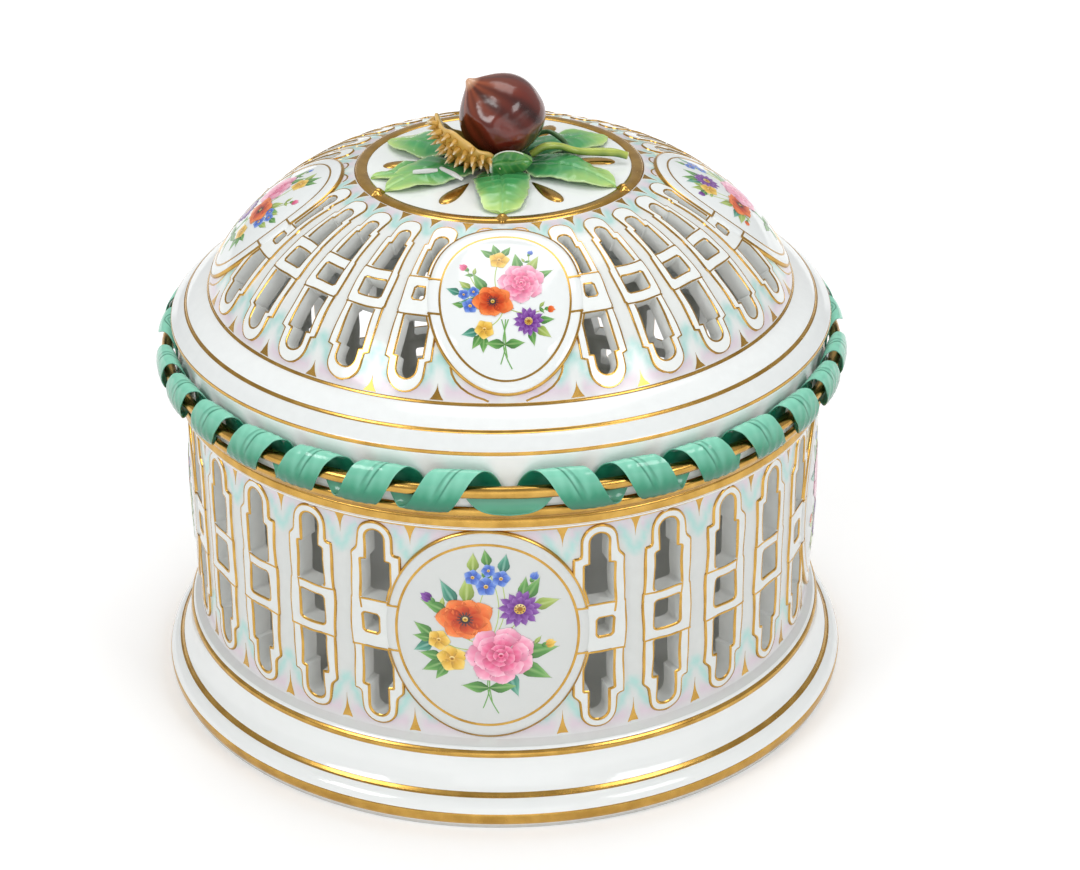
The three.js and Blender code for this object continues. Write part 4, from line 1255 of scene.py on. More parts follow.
def bouquetStrokes(flowers, half, rise, seed, flip):
    chance = random.Random(seed)
    side = -1 if flip else 1
    size = min(half, rise)
    foot = (0.02 * half * side, -0.52 * rise)
    strokes = []
    for lean, long in ((-0.07, 0.80), (0.03, 0.72), (0.10, 0.86)):
        strokes.append(stem((foot[0] + lean * 2 * half * 0.3, -0.25 * rise),
                            (foot[0] + lean * half, -long * rise), lean * 1.4, enamelSettings["stem"],
                            "green"))
    placed = [((side * x * half * 0.94, y * rise * 0.94), share * size * 0.9, kind, tone, turn)
              for kind, tone, x, y, share, turn in flowers]
    for spot, _, kind, _, _ in placed:
        if kind in ("bud", "five"):
            strokes.append(stem((foot[0] * 0.5, -0.1 * rise), spot, 0.12 * (1 if spot[0] > 0 else -1),
                                enamelSettings["stem"] * 0.8, "lime"))
    for spot, reach, kind, tone, turn in placed:
        outward = atan2(spot[1] + 0.1 * rise, spot[0])
        if kind == "bud":
            base = (spot[0] * 0.82, spot[1] * 0.82)
            for lean in (0.9, -0.9):
                strokes.append(petal(base, outward + lean, reach * 0.95, reach * 0.42,
                                     chance.choice(("lime", "green")), 0.45, 0.3, 0.6, 6, 4, True))
        else:
            leaning = (0.0,) if reach < 0.13 * size else (0.62, -0.62, 0.05)
            for lean in leaning:
                angle = outward + lean + chance.uniform(-0.2, 0.2)
                base = stepFrom(spot, reach * 0.55, angle)
                long = (0.34 * reach + 0.15 * size) * chance.uniform(0.85, 1.15)
                strokes.append(petal(base, angle, reach * 0.3 + long, long * 0.62,
                                     chance.choice(("green", "teal", "green", "lime")), 0.48, 0.5, 0.7, 10, 6,
                                     True))
    for lean in (-0.5, 0.45):
        angle = pi / 2 + (2.0 if lean < 0 else -2.0) * 0.75
        strokes.append(petal((foot[0], -0.56 * rise), angle, size * 0.3, size * 0.15, "green", 0.5, 0.4, 0.7,
                             10, 6, True))
    for spot, reach, kind, tone, turn in placed:
        angle = radians(180 - turn if flip else turn)
        strokes.extend(flowerKinds[kind](spot, reach, angle, tone, chance))
    return strokes


# Lays the strokes on a plaque, each one a little over the last
def bouquetBody(strokes, s, place, middle):
    points, faces, colours = [], [], []
    for order, (flat, (rows, columns), tints) in enumerate(strokes):
        start = len(points)
        level = enamelSettings["first"] + enamelSettings["step"] * order * 60 / len(strokes)
        for drop in (0, enamelSettings["thin"] + level):
            for x, y in flat:
                points.append(place(acrossAt(s, x, middle + y), middle + y,
                                    plaqueLevel(s, x, y) + level - drop))
        colours.extend(tints + tints)
        faces.extend(sheetFaces(rows, columns, start))
    return points, faces, colours


def paintMedallions(name, s, place, middle, body, designs):
    for i, (side, (design, flip)) in enumerate(zip(("front", "right", "back", "left"), designs)):
        strokes = bouquetStrokes(bouquets[design], s["innerHalf"], s["innerRise"], 30 + i, flip)
        bunch = bouquetBody(strokes, s, onSide(place, s, i), middle)
        addPiece(f"{name}_bouquet_{side}", bunch, bouquetGlaze, body, "glaze", sharpAngle=40)


paintMedallions("drum", drum, drumPlace, 0.0, "pot",
                (("meadow", False), ("garden", False), ("hedge", False), ("meadow", True)))
paintMedallions("dome", dome, domePlace, dome["ovalAt"], "lid",
                (("garden", True), ("hedge", True), ("meadow", False), ("garden", False)))
print("stage: bouquets made")

# Gilt lines turned round the pot: the level of the middle and the width along the profile
potLines = {"foot_band": (4.1, 4.5), "plinth_line": (10.95, 2.1), "neck_line": (24.1, 2.7)}
lidLines = {"cornice_foot_band": (113.1, 5.2), "cornice_line_low": (133.7, 1.3),
            "cornice_line_high": (138.6, 1.5), "dome_foot_line": (143.9, 1.4)}
for body, lines, profile, beyond in (("pot", potLines, plinthProfile(turnedSettings), 103),
                                     ("lid", lidLines, corniceProfile(turnedSettings), 97)):
    for name, (level, width) in lines.items():
        band = bandOver(stretchOf(profile, level, width, beyond))
        addPiece(name, band, gold, body, "gold", sharpAngle=60)
headLine = [(107, 105.1), (107, 104.6), (107, 104.1)]
addPiece("drum_head_line", bandOver(headLine), gold, "pot", "gold", sharpAngle=60)
fillet = [(110.25, 107.3), (109.9, 106.4), (108.8, 105.8), (107.3, 105.2)]
addPiece("rim_fillet", bandOver(fillet, 0.12), porcelain, "pot", "glaze")
footBand = bandOver(stretchOf(plinthProfile(turnedSettings), 1.1, 1.5, 112))
addPiece("bare_foot", footBand, bareGlaze, "pot", "glaze")
print("stage: gilt lines made")


# Rod and ribbon round the cavetto. The ribbon is laid out flat, along the rod and round its tube,
# and runs on from quarter to quarter: under the rod at the front and back, over it at the sides.
rope = {
    "radius": 113.5, "level": 121.7, "rod": 2.05, "rise": 7.3, "reach": 3.5, "width": 11.8, "thickness": 0.8,
    "turns": 7.5, "lead": 5.57, "bend": 1.7, "sag": 0.7, "behind": 0.85, "frontBend": 2.6, "hidden": 0.46,
    # mint and stripe are the ribbon's own colours; light is a painted highlight, low a painted shade, inside
    # the inside face's dark green, partly painted shade, and lobe its painted lit tone below the rod
    "steps": 230, "across": 26, "seed": 4, "light": (0.245, 0.64, 0.475), "mint": (0.025, 0.27, 0.15),
    "stripe": (0.004, 0.13, 0.07), "inside": (0.010, 0.16, 0.09), "low": (0.012, 0.125, 0.07),
    "lobe": (0.13, 0.43, 0.29),
}
ribbonColour = glazeMaterial("ribbon")


def rodBody(s):
    sides, segments = 10, 320
    chance = random.Random(s["seed"])
    waves = [(chance.uniform(0.02, 0.05), chance.randint(9, 60), chance.uniform(0, 6.3)) for _ in range(6)]
    rings = []
    for i in range(segments):
        turn = 2 * pi * i / segments
        swell = s["rod"] + sum(size * sin(count * turn + shift) for size, count, shift in waves)
        ring = []
        for j in range(sides):
            a = 2 * pi * j / sides
            reach = swell * (1 - 0.06 * cos(3 * a + 2.2 * sin(2 * turn)))
            ring.append(around(turn, s["radius"] + reach * cos(a), s["level"] + reach * sin(a)))
        rings.append(ring)
    return skin(rings, closed=True)


# The middle line of one quarter in the flat layout: how far along, and how far round the tube
def ribbonLine(s):
    quarter = pi / 2 * s["radius"]
    girth = pi * (s["rise"] + s["reach"]) * 1.03
    slope = girth * s["turns"] / (quarter - 2 * s["lead"])
    behind = s["behind"] * girth / (2 * pi)

    def rounded(run, lead, bend):
        return ((run ** bend + lead ** bend) ** (1 / bend) - lead) * slope

    line = []
    for i in range(s["steps"] + 1):
        share = i / s["steps"]
        start = behind + rounded(quarter * share, s["lead"] + behind / slope, s["frontBend"])
        end = girth * s["turns"] - rounded(quarter * (1 - share), s["lead"], s["bend"])
        line.append((quarter * share, (1 - share) * start + share * end))
    return line, girth


def ribbonQuarter(s, quarter):
    line, girth = ribbonLine(s)
    chance = random.Random(s["seed"] + quarter)
    shifts = [chance.uniform(0, 6.3) for _ in range(4)]
    mirrored = quarter % 2 == 1
    start = (quarter + (1 if mirrored else 0)) * pi / 2 + lidTurn
    side = -1 if mirrored else 1
    rings, colours = [], []
    for i, (run, wrap) in enumerate(line):
        along = Vector((1, 0))
        if 0 < i < s["steps"]:
            before, after = line[i - 1], line[i + 1]
            along = Vector((after[0] - before[0], after[1] - before[1])).normalized()
        fade = sin(pi * i / s["steps"])
        wide = s["width"] / 2 * (1 + 0.05 * fade * sin(wrap * 0.31 + shifts[0]))
        sag = s["sag"] * (exp(-(run / 4.5) ** 2))
        tuck = s["hidden"] * exp(-(run / 6) ** 2)
        ring = []
        for layer, order in ((0, range(s["across"] + 1)), (1, range(s["across"], -1, -1))):
            for j in order:
                u = 2 * j / s["across"] - 1
                reach = wide * u * (1 - tuck * (u < 0))
                a = run + along[1] * reach
                turn = 2 * pi * (wrap - along[0] * reach) / girth
                dish = 0.3 * (1 - u * u) - 0.3 * fade * u * sin(turn + shifts[1])
                out = dish - layer * s["thickness"] * (1 - 0.55 * u ** 4)
                out += 0.12 * fade * sin(a * 1.9 + shifts[2]) + sag * max(0, cos(turn))
                radius = s["radius"] - (s["reach"] + out) * sin(turn)
                level = s["level"] - (s["rise"] + out) * cos(turn)
                ring.append(around(start + side * a / s["radius"], radius, level))
                colours.append(ribbonPaint(s, u, turn, layer, a))
        rings.append(ring)
    points, faces = skin(rings)
    faces = flipped(faces)
    return points, faces if mirrored else [tuple(reversed(face)) for face in faces], colours


# The ribbon's paint, with light and shade painted in: outside, over the mint and its two dark stripes, each
# turn is painted lighter towards its top, with streaks of painted sheen and painted highlights on its edges,
# and darker low down as painted shade. The inside face is dark under the arch, partly its darker paint and
# partly painted shade, turns lighter below as painted light, and has a painted glint at its top.
def ribbonPaint(s, u, turn, layer, along):
    mint, light, stripe, inside, low, lobe = tonesOf(s, "mint", "light", "stripe", "inside", "low", "lobe")
    height = -cos(turn)
    if layer:
        glint = exp(-((u - 0.2) / 0.3) ** 2) * max(0, height) * 0.6
        colour = toward(inside, lobe, clamped(0.25 - 1.1 * height))
        return toward(colour, light, glint)
    streak = 0.5 + 0.5 * sin(along * 1.1 + 4 * u)
    bright = clamped((height + 0.12 + 0.36 * streak * (1 - abs(u))) * 0.85)
    colour = toward(mint, light, bright)
    for place, reach in ((-0.14, 0.1), (0.12, -0.15)):
        line = exp(-((u - place) / 0.042) ** 2) * clamped(1.5 * (height + reach) + 0.6) * 0.95
        colour = toward(colour, stripe, line)
    colour = toward(colour, low, min(1, max(0, -0.05 - height) * 1.3) * 0.85)
    edge = max(0, abs(u) - 0.88) / 0.12
    return toward(colour, light, edge * 0.4 * max(0, 0.3 + height))


addPiece("gilt_rod", rodBody(rope), gold, "lid", "gold", "rim_rod")
for quarter in range(medallionCount):
    addPiece(f"ribbon_quarter_{quarter + 1}", ribbonQuarter(rope, quarter), ribbonColour, "lid", "ribbon",
             f"ribbon_{quarter + 1}", sharpAngle=70)
print("stage: rod and ribbon made")

# Crown plate and ring
crown = {"plateRadius": 43.5, "seat": 181.5, "level": 183.1, "crown": 1.2, "ringFrom": 43.8, "ringTo": 48,
         "ringTop": 183.5}


def plateHeight(radius):
    return crown["level"] + crown["crown"] * (1 - (radius / crown["plateRadius"]) ** 2)


def crownPlateProfile(s):
    top = [(s["plateRadius"] * i / 12, plateHeight(s["plateRadius"] * i / 12)) for i in range(12)]
    return [*top, (s["plateRadius"] + 0.2, s["level"] - 0.05), (s["plateRadius"] + 0.2, s["seat"]),
            (0, s["seat"])]


def crownRingProfile(s):
    a, b, top, seat = s["ringFrom"], s["ringTo"], s["ringTop"], s["seat"]
    return [(a, top - 0.35), (a + 0.4, top - 0.1), (a + 1.6, top), (b - 1.4, top), (b - 0.6, top - 0.3),
            (b - 0.1, seat + 0.6), (b, seat), (a, seat)]


addTurned("crown_disc", crownPlateProfile(crown), litCrownGlaze, "lid", "glaze", "crown_plate")
addTurned("crown_band", crownRingProfile(crown), gold, "lid", "gold", "crown_ring")


def lidPoint(point):
    x, y, z = point
    return (x * cos(lidTurn) - y * sin(lidTurn), x * sin(lidTurn) + y * cos(lidTurn), z)


# Leaves: each has its angle, where it starts and ends, its half width and how it sways
leafColour = glazeMaterial("leaf")
leafTones = {"deep": (0.014, 0.12, 0.04), "green": (0.065, 0.35, 0.11), "tip": (0.50, 0.70, 0.20),
             "vein": (0.22, 0.54, 0.20), "edge": (0.62, 0.76, 0.42)}
leaves = [
    {"angle": 0, "from": 11, "to": 42.9, "half": 10.4, "sway": 0.6, "blunt": 0.85, "lift": 2.4, "square": 44,
     "taper": 0.4},
    {"angle": 60, "from": 10, "to": 43.3, "half": 9.6, "sway": 1.5, "blunt": 0.55, "lift": 2.4},
    {"angle": 120, "from": 11, "to": 43.0, "half": 8.6, "sway": -1.5, "blunt": 0.45, "lift": 2.6},
    {"angle": 180, "from": 11, "to": 42.0, "half": 8.8, "sway": 0.8, "blunt": 0.6, "lift": 2.2},
    {"angle": 240, "from": 11, "to": 43.0, "half": 8.8, "sway": 1.8, "blunt": 0.5, "lift": 2.6},
    {"angle": 300, "from": 10, "to": 43.3, "half": 9.2, "sway": -1.2, "blunt": 0.5, "lift": 2.3},
]
sideLobe = {"angle": 284, "from": 19, "to": 43.6, "half": 5.6, "sway": 1.4, "blunt": 0.4, "lift": 0.9}


def leafBody(s, seed):
    chance = random.Random(seed)
    shifts = [chance.uniform(0, 6.3) for _ in range(5)]
    rows, columns = 54, 24
    points, colours = [], []
    angle = radians(s["angle"]) + lidTurn
    teeth, veins = 9, 7
    for layer in (0, 1):
        for i in range(rows + 1):
            t = i / rows
            belly = sin(pi * min(1, t ** 0.75 * 0.93 + 0.05)) ** 0.7
            blunt = (1 - t ** s.get("square", 6)) ** 0.5 * (1 - s.get("taper", 0) * t)
            wide = s["half"] * (belly * (1 - s["blunt"]) + blunt * s["blunt"] * min(1, 0.35 + 2.2 * t))
            tooth = (t * teeth) % 1
            wide *= (1 + 0.07 * tooth) * (1 if t < 0.985 else 0.72)
            wide = max(wide, 0.5)
            for j in range(columns + 1):
                u = 2 * j / columns - 1
                radius = s["from"] + (s["to"] - s["from"]) * t - 1.1 * abs(u) ** 1.5 * t
                side = wide * u + s["sway"] * sin(pi * t)
                rib = abs(u) * wide
                vein = (t * veins - abs(u) * 1.1 + 0.15 * sin(shifts[0] + 5 * u)) % 1
                ridge = exp(-((vein - 0.5) / 0.13) ** 2) * (1 - abs(u) ** 3) * (rib > 0.4)
                wave = 0.9 * sin(7 * t + shifts[1] + 2 * u) * abs(u)
                wave += 0.6 * sin(15 * t + shifts[2] + 3 * u) * u * u
                lift = 0.35 + s["lift"] * sin(pi * t ** 0.9) * (1 - 0.45 * u * u)
                lift += wave * sin(pi * t)
                lift += 0.9 - 0.5 * exp(-(rib / 0.6) ** 2) + 0.3 * ridge * sin(pi * t)
                if layer:
                    lift -= 0.9 * (1 - 0.6 * abs(u) ** 3)
                lift = max(lift, 0.05 if layer else 0.25)
                spread = side / max(radius, 1)
                points.append(around(angle + spread, radius, plateHeight(radius) + lift))
                colours.append(leafPaint(t, u, ridge, rib, shifts))
    return points, sheetFaces(rows, columns), colours


def leafPaint(t, u, ridge, rib, shifts):
    deep, green, tip, vein = tonesOf(leafTones, "deep", "green", "tip", "vein")
    cloud = 0.5 + 0.5 * sin(5.5 * t + 3 * u + shifts[3]) * sin(4 * u - 6 * t + shifts[4])
    outer = clamped((t - 0.45) * 1.9 + 0.35 * abs(u) ** 2 * t - 0.35 * cloud)
    colour = toward(deep, green, min(1, 0.2 + 1.6 * t * (0.6 + 0.4 * cloud)))
    colour = toward(colour, tip, outer)
    line = max(0.55 * ridge, 0.8 * exp(-(rib / 0.35) ** 2)) * min(1, 0.3 + t)
    colour = toward(colour, vein, line * 0.6)
    return toward(colour, np.asarray(leafTones["edge"]), max(0, abs(u) - 0.9) * 6)


for i, leafSettings in enumerate(leaves):
    addPiece(f"leaf_blade_{i + 1}", leafBody(leafSettings, 20 + i), leafColour, "lid", "leaf",
             f"leaf_{i + 1}", sharpAngle=60)
addPiece("leaf_blade_6_lobe", leafBody(sideLobe, 31), leafColour, "lid", "leaf", sharpAngle=60)
print("stage: crown and leaves made")


# Gilt rays and beads of the crown: a ray is a teardrop, pointed towards the middle
rays = {"from": 20.5, "to": 38.4, "half": 3.1, "height": 1.25, "angles": (30, 90, 150, 210, 270, 330)}
beads = {"radius": 45.9, "level": 183.35, "size": 1.75, "angles": (-60, 0, 60, 180)}


def domeOfRings(place, rings, sides):
    points, faces = skin([[place(share, 2 * pi * i / sides, height) for i in range(sides)]
                          for share, height in rings])
    return points, flipped(faces)


def rayBody(s, angle):
    length = s["to"] - s["from"]

    def place(share, turn, height):
        along = 0.5 + 0.5 * cos(turn) * share
        belly = s["half"] * share * sin(turn) * (0.25 + 0.95 * along ** 0.9)
        radius = s["from"] + length * (along * 0.86 + 0.07 + 0.07 * cos(turn) * share)
        lift = -0.1 if height == 0 else s["height"] * height * (0.35 + 0.65 * along)
        return around(angle + lidTurn + belly / radius, radius, plateHeight(radius) + lift)

    return domeOfRings(place, [(1, 0), (1, 0.18), (0.93, 0.5), (0.75, 0.8), (0.45, 0.95), (0.12, 1)], 40)


def beadBody(s, angle):
    def place(share, turn, height):
        reach = s["size"] * share * (1 + 0.22 * cos(4 * turn) * (1 - height))
        radius = s["radius"] + reach * sin(turn)
        return around(angle + lidTurn + reach * cos(turn) / s["radius"], radius,
                      s["level"] + s["size"] * height)

    return domeOfRings(place, [(1.25, -0.05), (1.2, 0.1), (0.95, 0.35), (0.8, 0.62), (0.55, 0.88),
                               (0.2, 1.0)], 28)


for i, angle in enumerate(rays["angles"]):
    addPiece(f"gold_ray_{i + 1}", rayBody(rays, radians(angle)), gold, "lid", "gold", f"gilt_ray_{i + 1}",
             sharpAngle=60)
for i, angle in enumerate(beads["angles"]):
    addPiece(f"gold_bead_{i + 1}", beadBody(beads, radians(angle)), gold, "lid", "gold",
             f"gilt_bead_{i + 1}", sharpAngle=60)
print("stage: rays and beads made")


# The nut: turned about its leaning axis, with shallow dents and a darker foot
nut = {
    "centre": (1, 0, 200.4), "half": 14.2, "axis": (-0.66, 0.03, 0.75), "around": 112, "seed": 6,
    "profile": [(-0.92, 0.0), (-0.91, 0.2), (-0.88, 0.4), (-0.78, 0.66), (-0.6, 0.84), (-0.42, 0.935),
                (-0.2, 0.99), (0.02, 1.01), (0.22, 0.98), (0.42, 0.9), (0.6, 0.78), (0.76, 0.615),
                (0.9, 0.42), (1.0, 0.26), (1.07, 0.15), (1.14, 0.09), (1.185, 0.05), (1.195, 0.0)],
    "dents": [((-0.35, -0.75, 0.55), 0.34, 0.09), ((-0.6, -0.7, -0.15), 0.3, 0.07),
              ((0.55, -0.75, 0.2), 0.3, 0.06), ((0.1, -0.95, 0.1), 0.24, 0.05),
              ((0.3, -0.9, -0.5), 0.3, 0.05), ((0.7, 0.5, 0.4), 0.4, 0.05)],
    "dark": (0.020, 0.003, 0.0025), "brown": (0.14, 0.018, 0.010), "warm": (0.31, 0.07, 0.02),
    "tip": (0.62, 0.36, 0.22), "foot": (0.060, 0.040, 0.018), "footRim": (0.16, 0.06, 0.02),
}
glazeSettings["nut"] = {"rough": (0.13, 0.22), "gloss": 0.6, "wave": (55, 0.5)}
nutColour = glazeMaterial("nut")


def smoothProfile(profile, steps):
    path = np.asarray(profile, float)
    for _ in range(steps):
        middle = (path[:-1] * 3 + path[1:]) / 4, (path[:-1] + path[1:] * 3) / 4
        path = np.vstack([path[:1], np.stack(middle, axis=1).reshape(-1, 2), path[-1:]])
    return path


def nutBody(s):
    axis = Vector(s["axis"]).normalized()
    side = axis.orthogonal().normalized()
    third = axis.cross(side)
    profile = smoothProfile(s["profile"], 2)
    profile = profile[(profile[:, 1] > 0.012)]
    chance = random.Random(s["seed"])
    streaks = [(chance.uniform(0, 6.3), chance.randint(3, 15)) for _ in range(8)]
    dents = [(Vector(d).normalized(), wide, deep) for d, wide, deep in s["dents"]]
    rings, colours = [], []
    for along, radius in ((profile[0][0] - 0.002, 0), *profile, (profile[-1][0] + 0.004, 0)):
        ring = []
        for i in range(s["around"] if radius else 1):
            turn = 2 * pi * i / s["around"]
            way = side * cos(turn) + third * sin(turn)
            bulge = 1 + 0.022 * cos(3 * turn + 0.6) + 0.012 * cos(5 * turn)
            spot = axis * along + way * radius * bulge
            for towards, wide, deep in dents:
                apart = (spot.normalized() - towards).length_squared
                spot = spot - towards * deep * exp(-apart / wide ** 2)
            ring.append(lidPoint(Vector(s["centre"]) + spot * s["half"]))
            colours.append(nutPaint(s, along, turn, spot, streaks))
        rings.append(ring)
    points, faces = skin(rings)
    return points, flipped(faces), colours


def nutPaint(s, along, turn, spot, streaks):
    dark, brown, warm, tip, foot, footRim = tonesOf(s, "dark", "brown", "warm", "tip", "foot", "footRim")
    streak = sum(sin(number * turn + shift + 2.2 * along) for shift, number in streaks) / len(streaks)
    cloud = 0.5 + 0.5 * sin(3.1 * spot.x + 2.2 * spot.z + 1.4) * sin(4.3 * spot.y - 2.0 * spot.x)
    colour = toward(dark, brown, clamped(0.45 + 0.75 * streak + 0.35 * cloud))
    near = clamped((along - 0.15) / 0.95) ** 1.4
    colour = toward(colour, warm, near * min(1, max(0.2, 0.5 + 0.8 * streak)))
    point = clamped((along - 1.0) / 0.12)
    colour = toward(colour, tip, point)
    edge = 0.08 * sin(3 * turn) + 0.03 * sin(7 * turn + 1)
    base = clamped((-0.66 + edge - along) / 0.04)
    rim = exp(-((along + 0.64 - edge) / 0.035) ** 2)
    colour = toward(colour, foot, base)
    return toward(colour, footRim, rim * 0.8)


addPiece("nut_body", nutBody(nut), nutColour, "lid", "nut", "chestnut")

# The husk: a cap of a ball under the nut, cut along a leaning rim, with thorns on its outside
husk = {
    "centre": (-5.6, -3.8, 199.7), "radius": 14.7, "axis": (-0.543, -0.245, -0.803), "open": 59,
    "thickness": 1.7, "around": 120, "rows": 26, "lowest": 187.2, "ochre": (0.56, 0.31, 0.05),
    "pale": (0.66, 0.42, 0.12), "inside": (0.26, 0.19, 0.035), "deep": (0.15, 0.09, 0.015),
    "thornTip": (0.72, 0.64, 0.46), "thornSpacing": 2.75, "thornLength": 3.7, "thornRadius": 1.2, "seed": 11,
}
glazeSettings["husk"] = {"rough": (0.16, 0.3), "wave": (120, 0.12)}
huskColour = glazeMaterial("husk")


def huskBody(s):
    axis = Vector(s["axis"]).normalized()
    left = (Vector((-1, 0, 0)) - axis * Vector((-1, 0, 0)).dot(axis)).normalized()
    third = axis.cross(left)
    count, rows = s["around"], s["rows"]
    points, colours, outer = [], [], []

    def rimTurn(turn):
        peak = exp(-((turn + pi) % (2 * pi) - pi) ** 2 / 0.16)
        return radians(s["open"] + 7 * peak + 1.6 * sin(5 * turn + 0.7) + 0.8 * sin(11 * turn))

    def put(share, turn, inward):
        lean = rimTurn(turn) * share
        way = axis * cos(lean) + (left * cos(turn) + third * sin(turn)) * sin(lean)
        flare = 0.9 * share ** 4 * (0.5 + 0.5 * cos(turn)) + 0.25 * sin(6 * turn) * share ** 2
        radius = s["radius"] + flare - inward
        points.append(lidPoint(Vector(s["centre"]) + way * radius))
        shade = 0.5 + 0.5 * sin(3 * turn + 5 * share)
        base, ochre, pale = tonesOf(s, "deep", "ochre", "pale")
        if inward > s["thickness"] * 0.75:
            base, ochre = np.asarray(s["deep"]), np.asarray(s["inside"])
            colours.append(toward(base, ochre, (0.35 + 0.65 * share ** 2)))
        else:
            colour = toward(base, ochre, min(1, 0.45 + 0.5 * share + 0.25 * shade))
            colours.append(toward(colour, pale, clamped((share - 0.86) / 0.14)))

    levels = [(j / rows, 0) for j in range(1, rows + 1)] + [(1.022, 0.28), (1.03, 0.85), (1.02, 1.42)]
    levels += [(j / rows, s["thickness"]) for j in range(rows, 0, -1)]
    for share, inward in levels:
        for i in range(count):
            put(share, 2 * pi * i / count, inward)
    total = len(levels)
    put(0, 0, 0)
    put(0, 0, s["thickness"])
    faces = []
    for j in range(total - 1):
        for i in range(count):
            k = (i + 1) % count
            faces.append((j * count + i, j * count + k, (j + 1) * count + k, (j + 1) * count + i))
    for i in range(count):
        k = (i + 1) % count
        faces.append((total * count, k, i))
        faces.append((total * count + 1, (total - 1) * count + i, (total - 1) * count + k))
    for face in faces:
        onOutside = face[0] < (rows - 1) * count
        outer.append(onOutside and min(points[n][2] for n in face) > s["lowest"])
    return points, [tuple(reversed(face)) for face in faces], colours, outer


# Sets thorns on the faces marked "thorny" and joins them to the body
def thornTree():
    tree, given, made = newTree("thorns", {
        "Body": "Geometry", "Spacing": "Float", "Length": "Float", "Foot radius": "Float", "Seed": "Int",
        "Ochre": "Color", "Tip": "Color", "Finish": "Material",
    }, "Thorny body")
    marked = addNode(tree, "GeometryNodeInputNamedAttribute", {"Name": "thorny"}, data_type="BOOLEAN")
    spread = addNode(tree, "GeometryNodeDistributePointsOnFaces", {
        "Mesh": given["Body"], "Selection": marked.outputs["Attribute"], "Distance Min": given["Spacing"],
        "Density Max": 1e6, "Seed": given["Seed"],
    }, distribute_method="POISSON")
    cone = addNode(tree, "GeometryNodeMeshCone", {
        "Vertices": 12, "Side Segments": 8, "Radius Bottom": given["Foot radius"], "Radius Top": 0.12 * mm,
        "Depth": given["Length"],
    })
    height = addNode(tree, "ShaderNodeSeparateXYZ", {0: addNode(tree, "GeometryNodeInputPosition", {})})
    share = addNode(tree, "ShaderNodeMath", {0: height.outputs["Z"], 1: given["Length"]}, operation="DIVIDE")
    tone = mixOf(tree, rangeOf(tree, share, 0.0, 1.0, 0.5, 0.92), given["Ochre"], given["Tip"])
    coloured = addNode(tree, "GeometryNodeStoreNamedAttribute", {
        "Name": "paint", "Geometry": cone, "Value": tone,
    }, data_type="FLOAT_COLOR")
    wide = addNode(tree, "FunctionNodeRandomValue", {
        0: (0.8, 0.8, 0.75), 1: (1.1, 1.1, 1.15), "Seed": given["Seed"],
    }, data_type="FLOAT_VECTOR")
    place = addNode(tree, "GeometryNodeInstanceOnPoints", {
        "Points": spread, "Instance": coloured, "Rotation": spread.outputs["Rotation"], "Scale": wide,
    })
    joined = addNode(tree, "GeometryNodeJoinGeometry", {0: given["Body"]})
    feed(tree, joined, {0: addNode(tree, "GeometryNodeSetShadeSmooth", {"Geometry": place})})
    solid = addNode(tree, "GeometryNodeRealizeInstances", {0: joined})
    feed(tree, made, {0: addNode(tree, "GeometryNodeSetMaterial",
                                 {"Geometry": solid, "Material": given["Finish"]})})
    return tree


huskPoints, huskFaces, huskColours, thornyFaces = huskBody(husk)
shell = makeObject("husk_shell", huskPoints, huskFaces, huskColour)
paintPoints(shell, huskColours)
marks = shell.data.attributes.new("thorny", "BOOLEAN", "FACE")
marks.data.foreach_set("value", thornyFaces)
shell = grown(shell, thornTree(), {
    "Spacing": husk["thornSpacing"] * mm, "Length": husk["thornLength"] * mm,
    "Foot radius": husk["thornRadius"] * mm, "Seed": husk["seed"], "Ochre": (*husk["ochre"], 1),
    "Tip": (*husk["thornTip"], 1), "Finish": huskColour,
})
finishPiece(shell, "lid", "husk", "husk")
print("stage: nut and husk made,", len(shell.data.polygons), "husk faces")


# Tubes along a smooth run of points, each [x, y, height over the crown plate's edge]
def smoothRun(knots, steps=8):
    path = [Vector(k) for k in knots]
    run = []
    for i in range(len(path) - 1):
        before, start, end, after = path[max(i - 1, 0)], path[i], path[i + 1], path[min(i + 2, len(path) - 1)]
        for k in range(steps):
            t = k / steps
            square = 2 * before - 5 * start + 4 * end - after
            cube = 3 * start - before - 3 * end + after
            run.append(0.5 * (2 * start + (end - before) * t + square * t ** 2 + cube * t ** 3))
    return run + [path[-1]]


def tube(knots, radiusAt, sides=20, flat=1.0):
    run = smoothRun(knots)
    rings = []
    side = None
    for i, spot in enumerate(run):
        along = (run[min(i + 1, len(run) - 1)] - run[max(i - 1, 0)]).normalized()
        side = along.orthogonal() if side is None else side - along * side.dot(along)
        side = side.normalized()
        up = along.cross(side)
        radius = radiusAt(i / (len(run) - 1))
        turns = [2 * pi * j / sides for j in range(sides)]
        rings.append([lidPoint(spot + side * radius * cos(a) + up * radius * flat * sin(a))
                      for a in turns])
    points, faces = skin(rings)
    return points, flipped(faces), run


def overPlate(knots):
    return [(x, y, crown["level"] + up) for x, y, up in knots]


twig = {
    "knots": [(10.5, -4.5, 5.4), (15, -4.5, 8), (20, -3, 7.4), (26, -1.5, 5), (33, -0.8, 4.3),
              (38, -0.6, 3.9), (42.5, -0.5, 2.6)],
    "from": 1.15, "to": 1.4, "light": (0.42, 0.50, 0.09), "dark": (0.08, 0.17, 0.03),
    "cut": (0.66, 0.62, 0.42),
}
tendril = {
    "knots": [(10.5, 7.5, 5), (13, 8, 7.6), (17, 6.5, 8.8), (21, 4, 7), (23.5, 2.4, 4.4)],
    "from": 1.0, "to": 0.7, "light": (0.09, 0.19, 0.07), "dark": (0.018, 0.06, 0.02), "cut": (0.1, 0.2, 0.08),
}


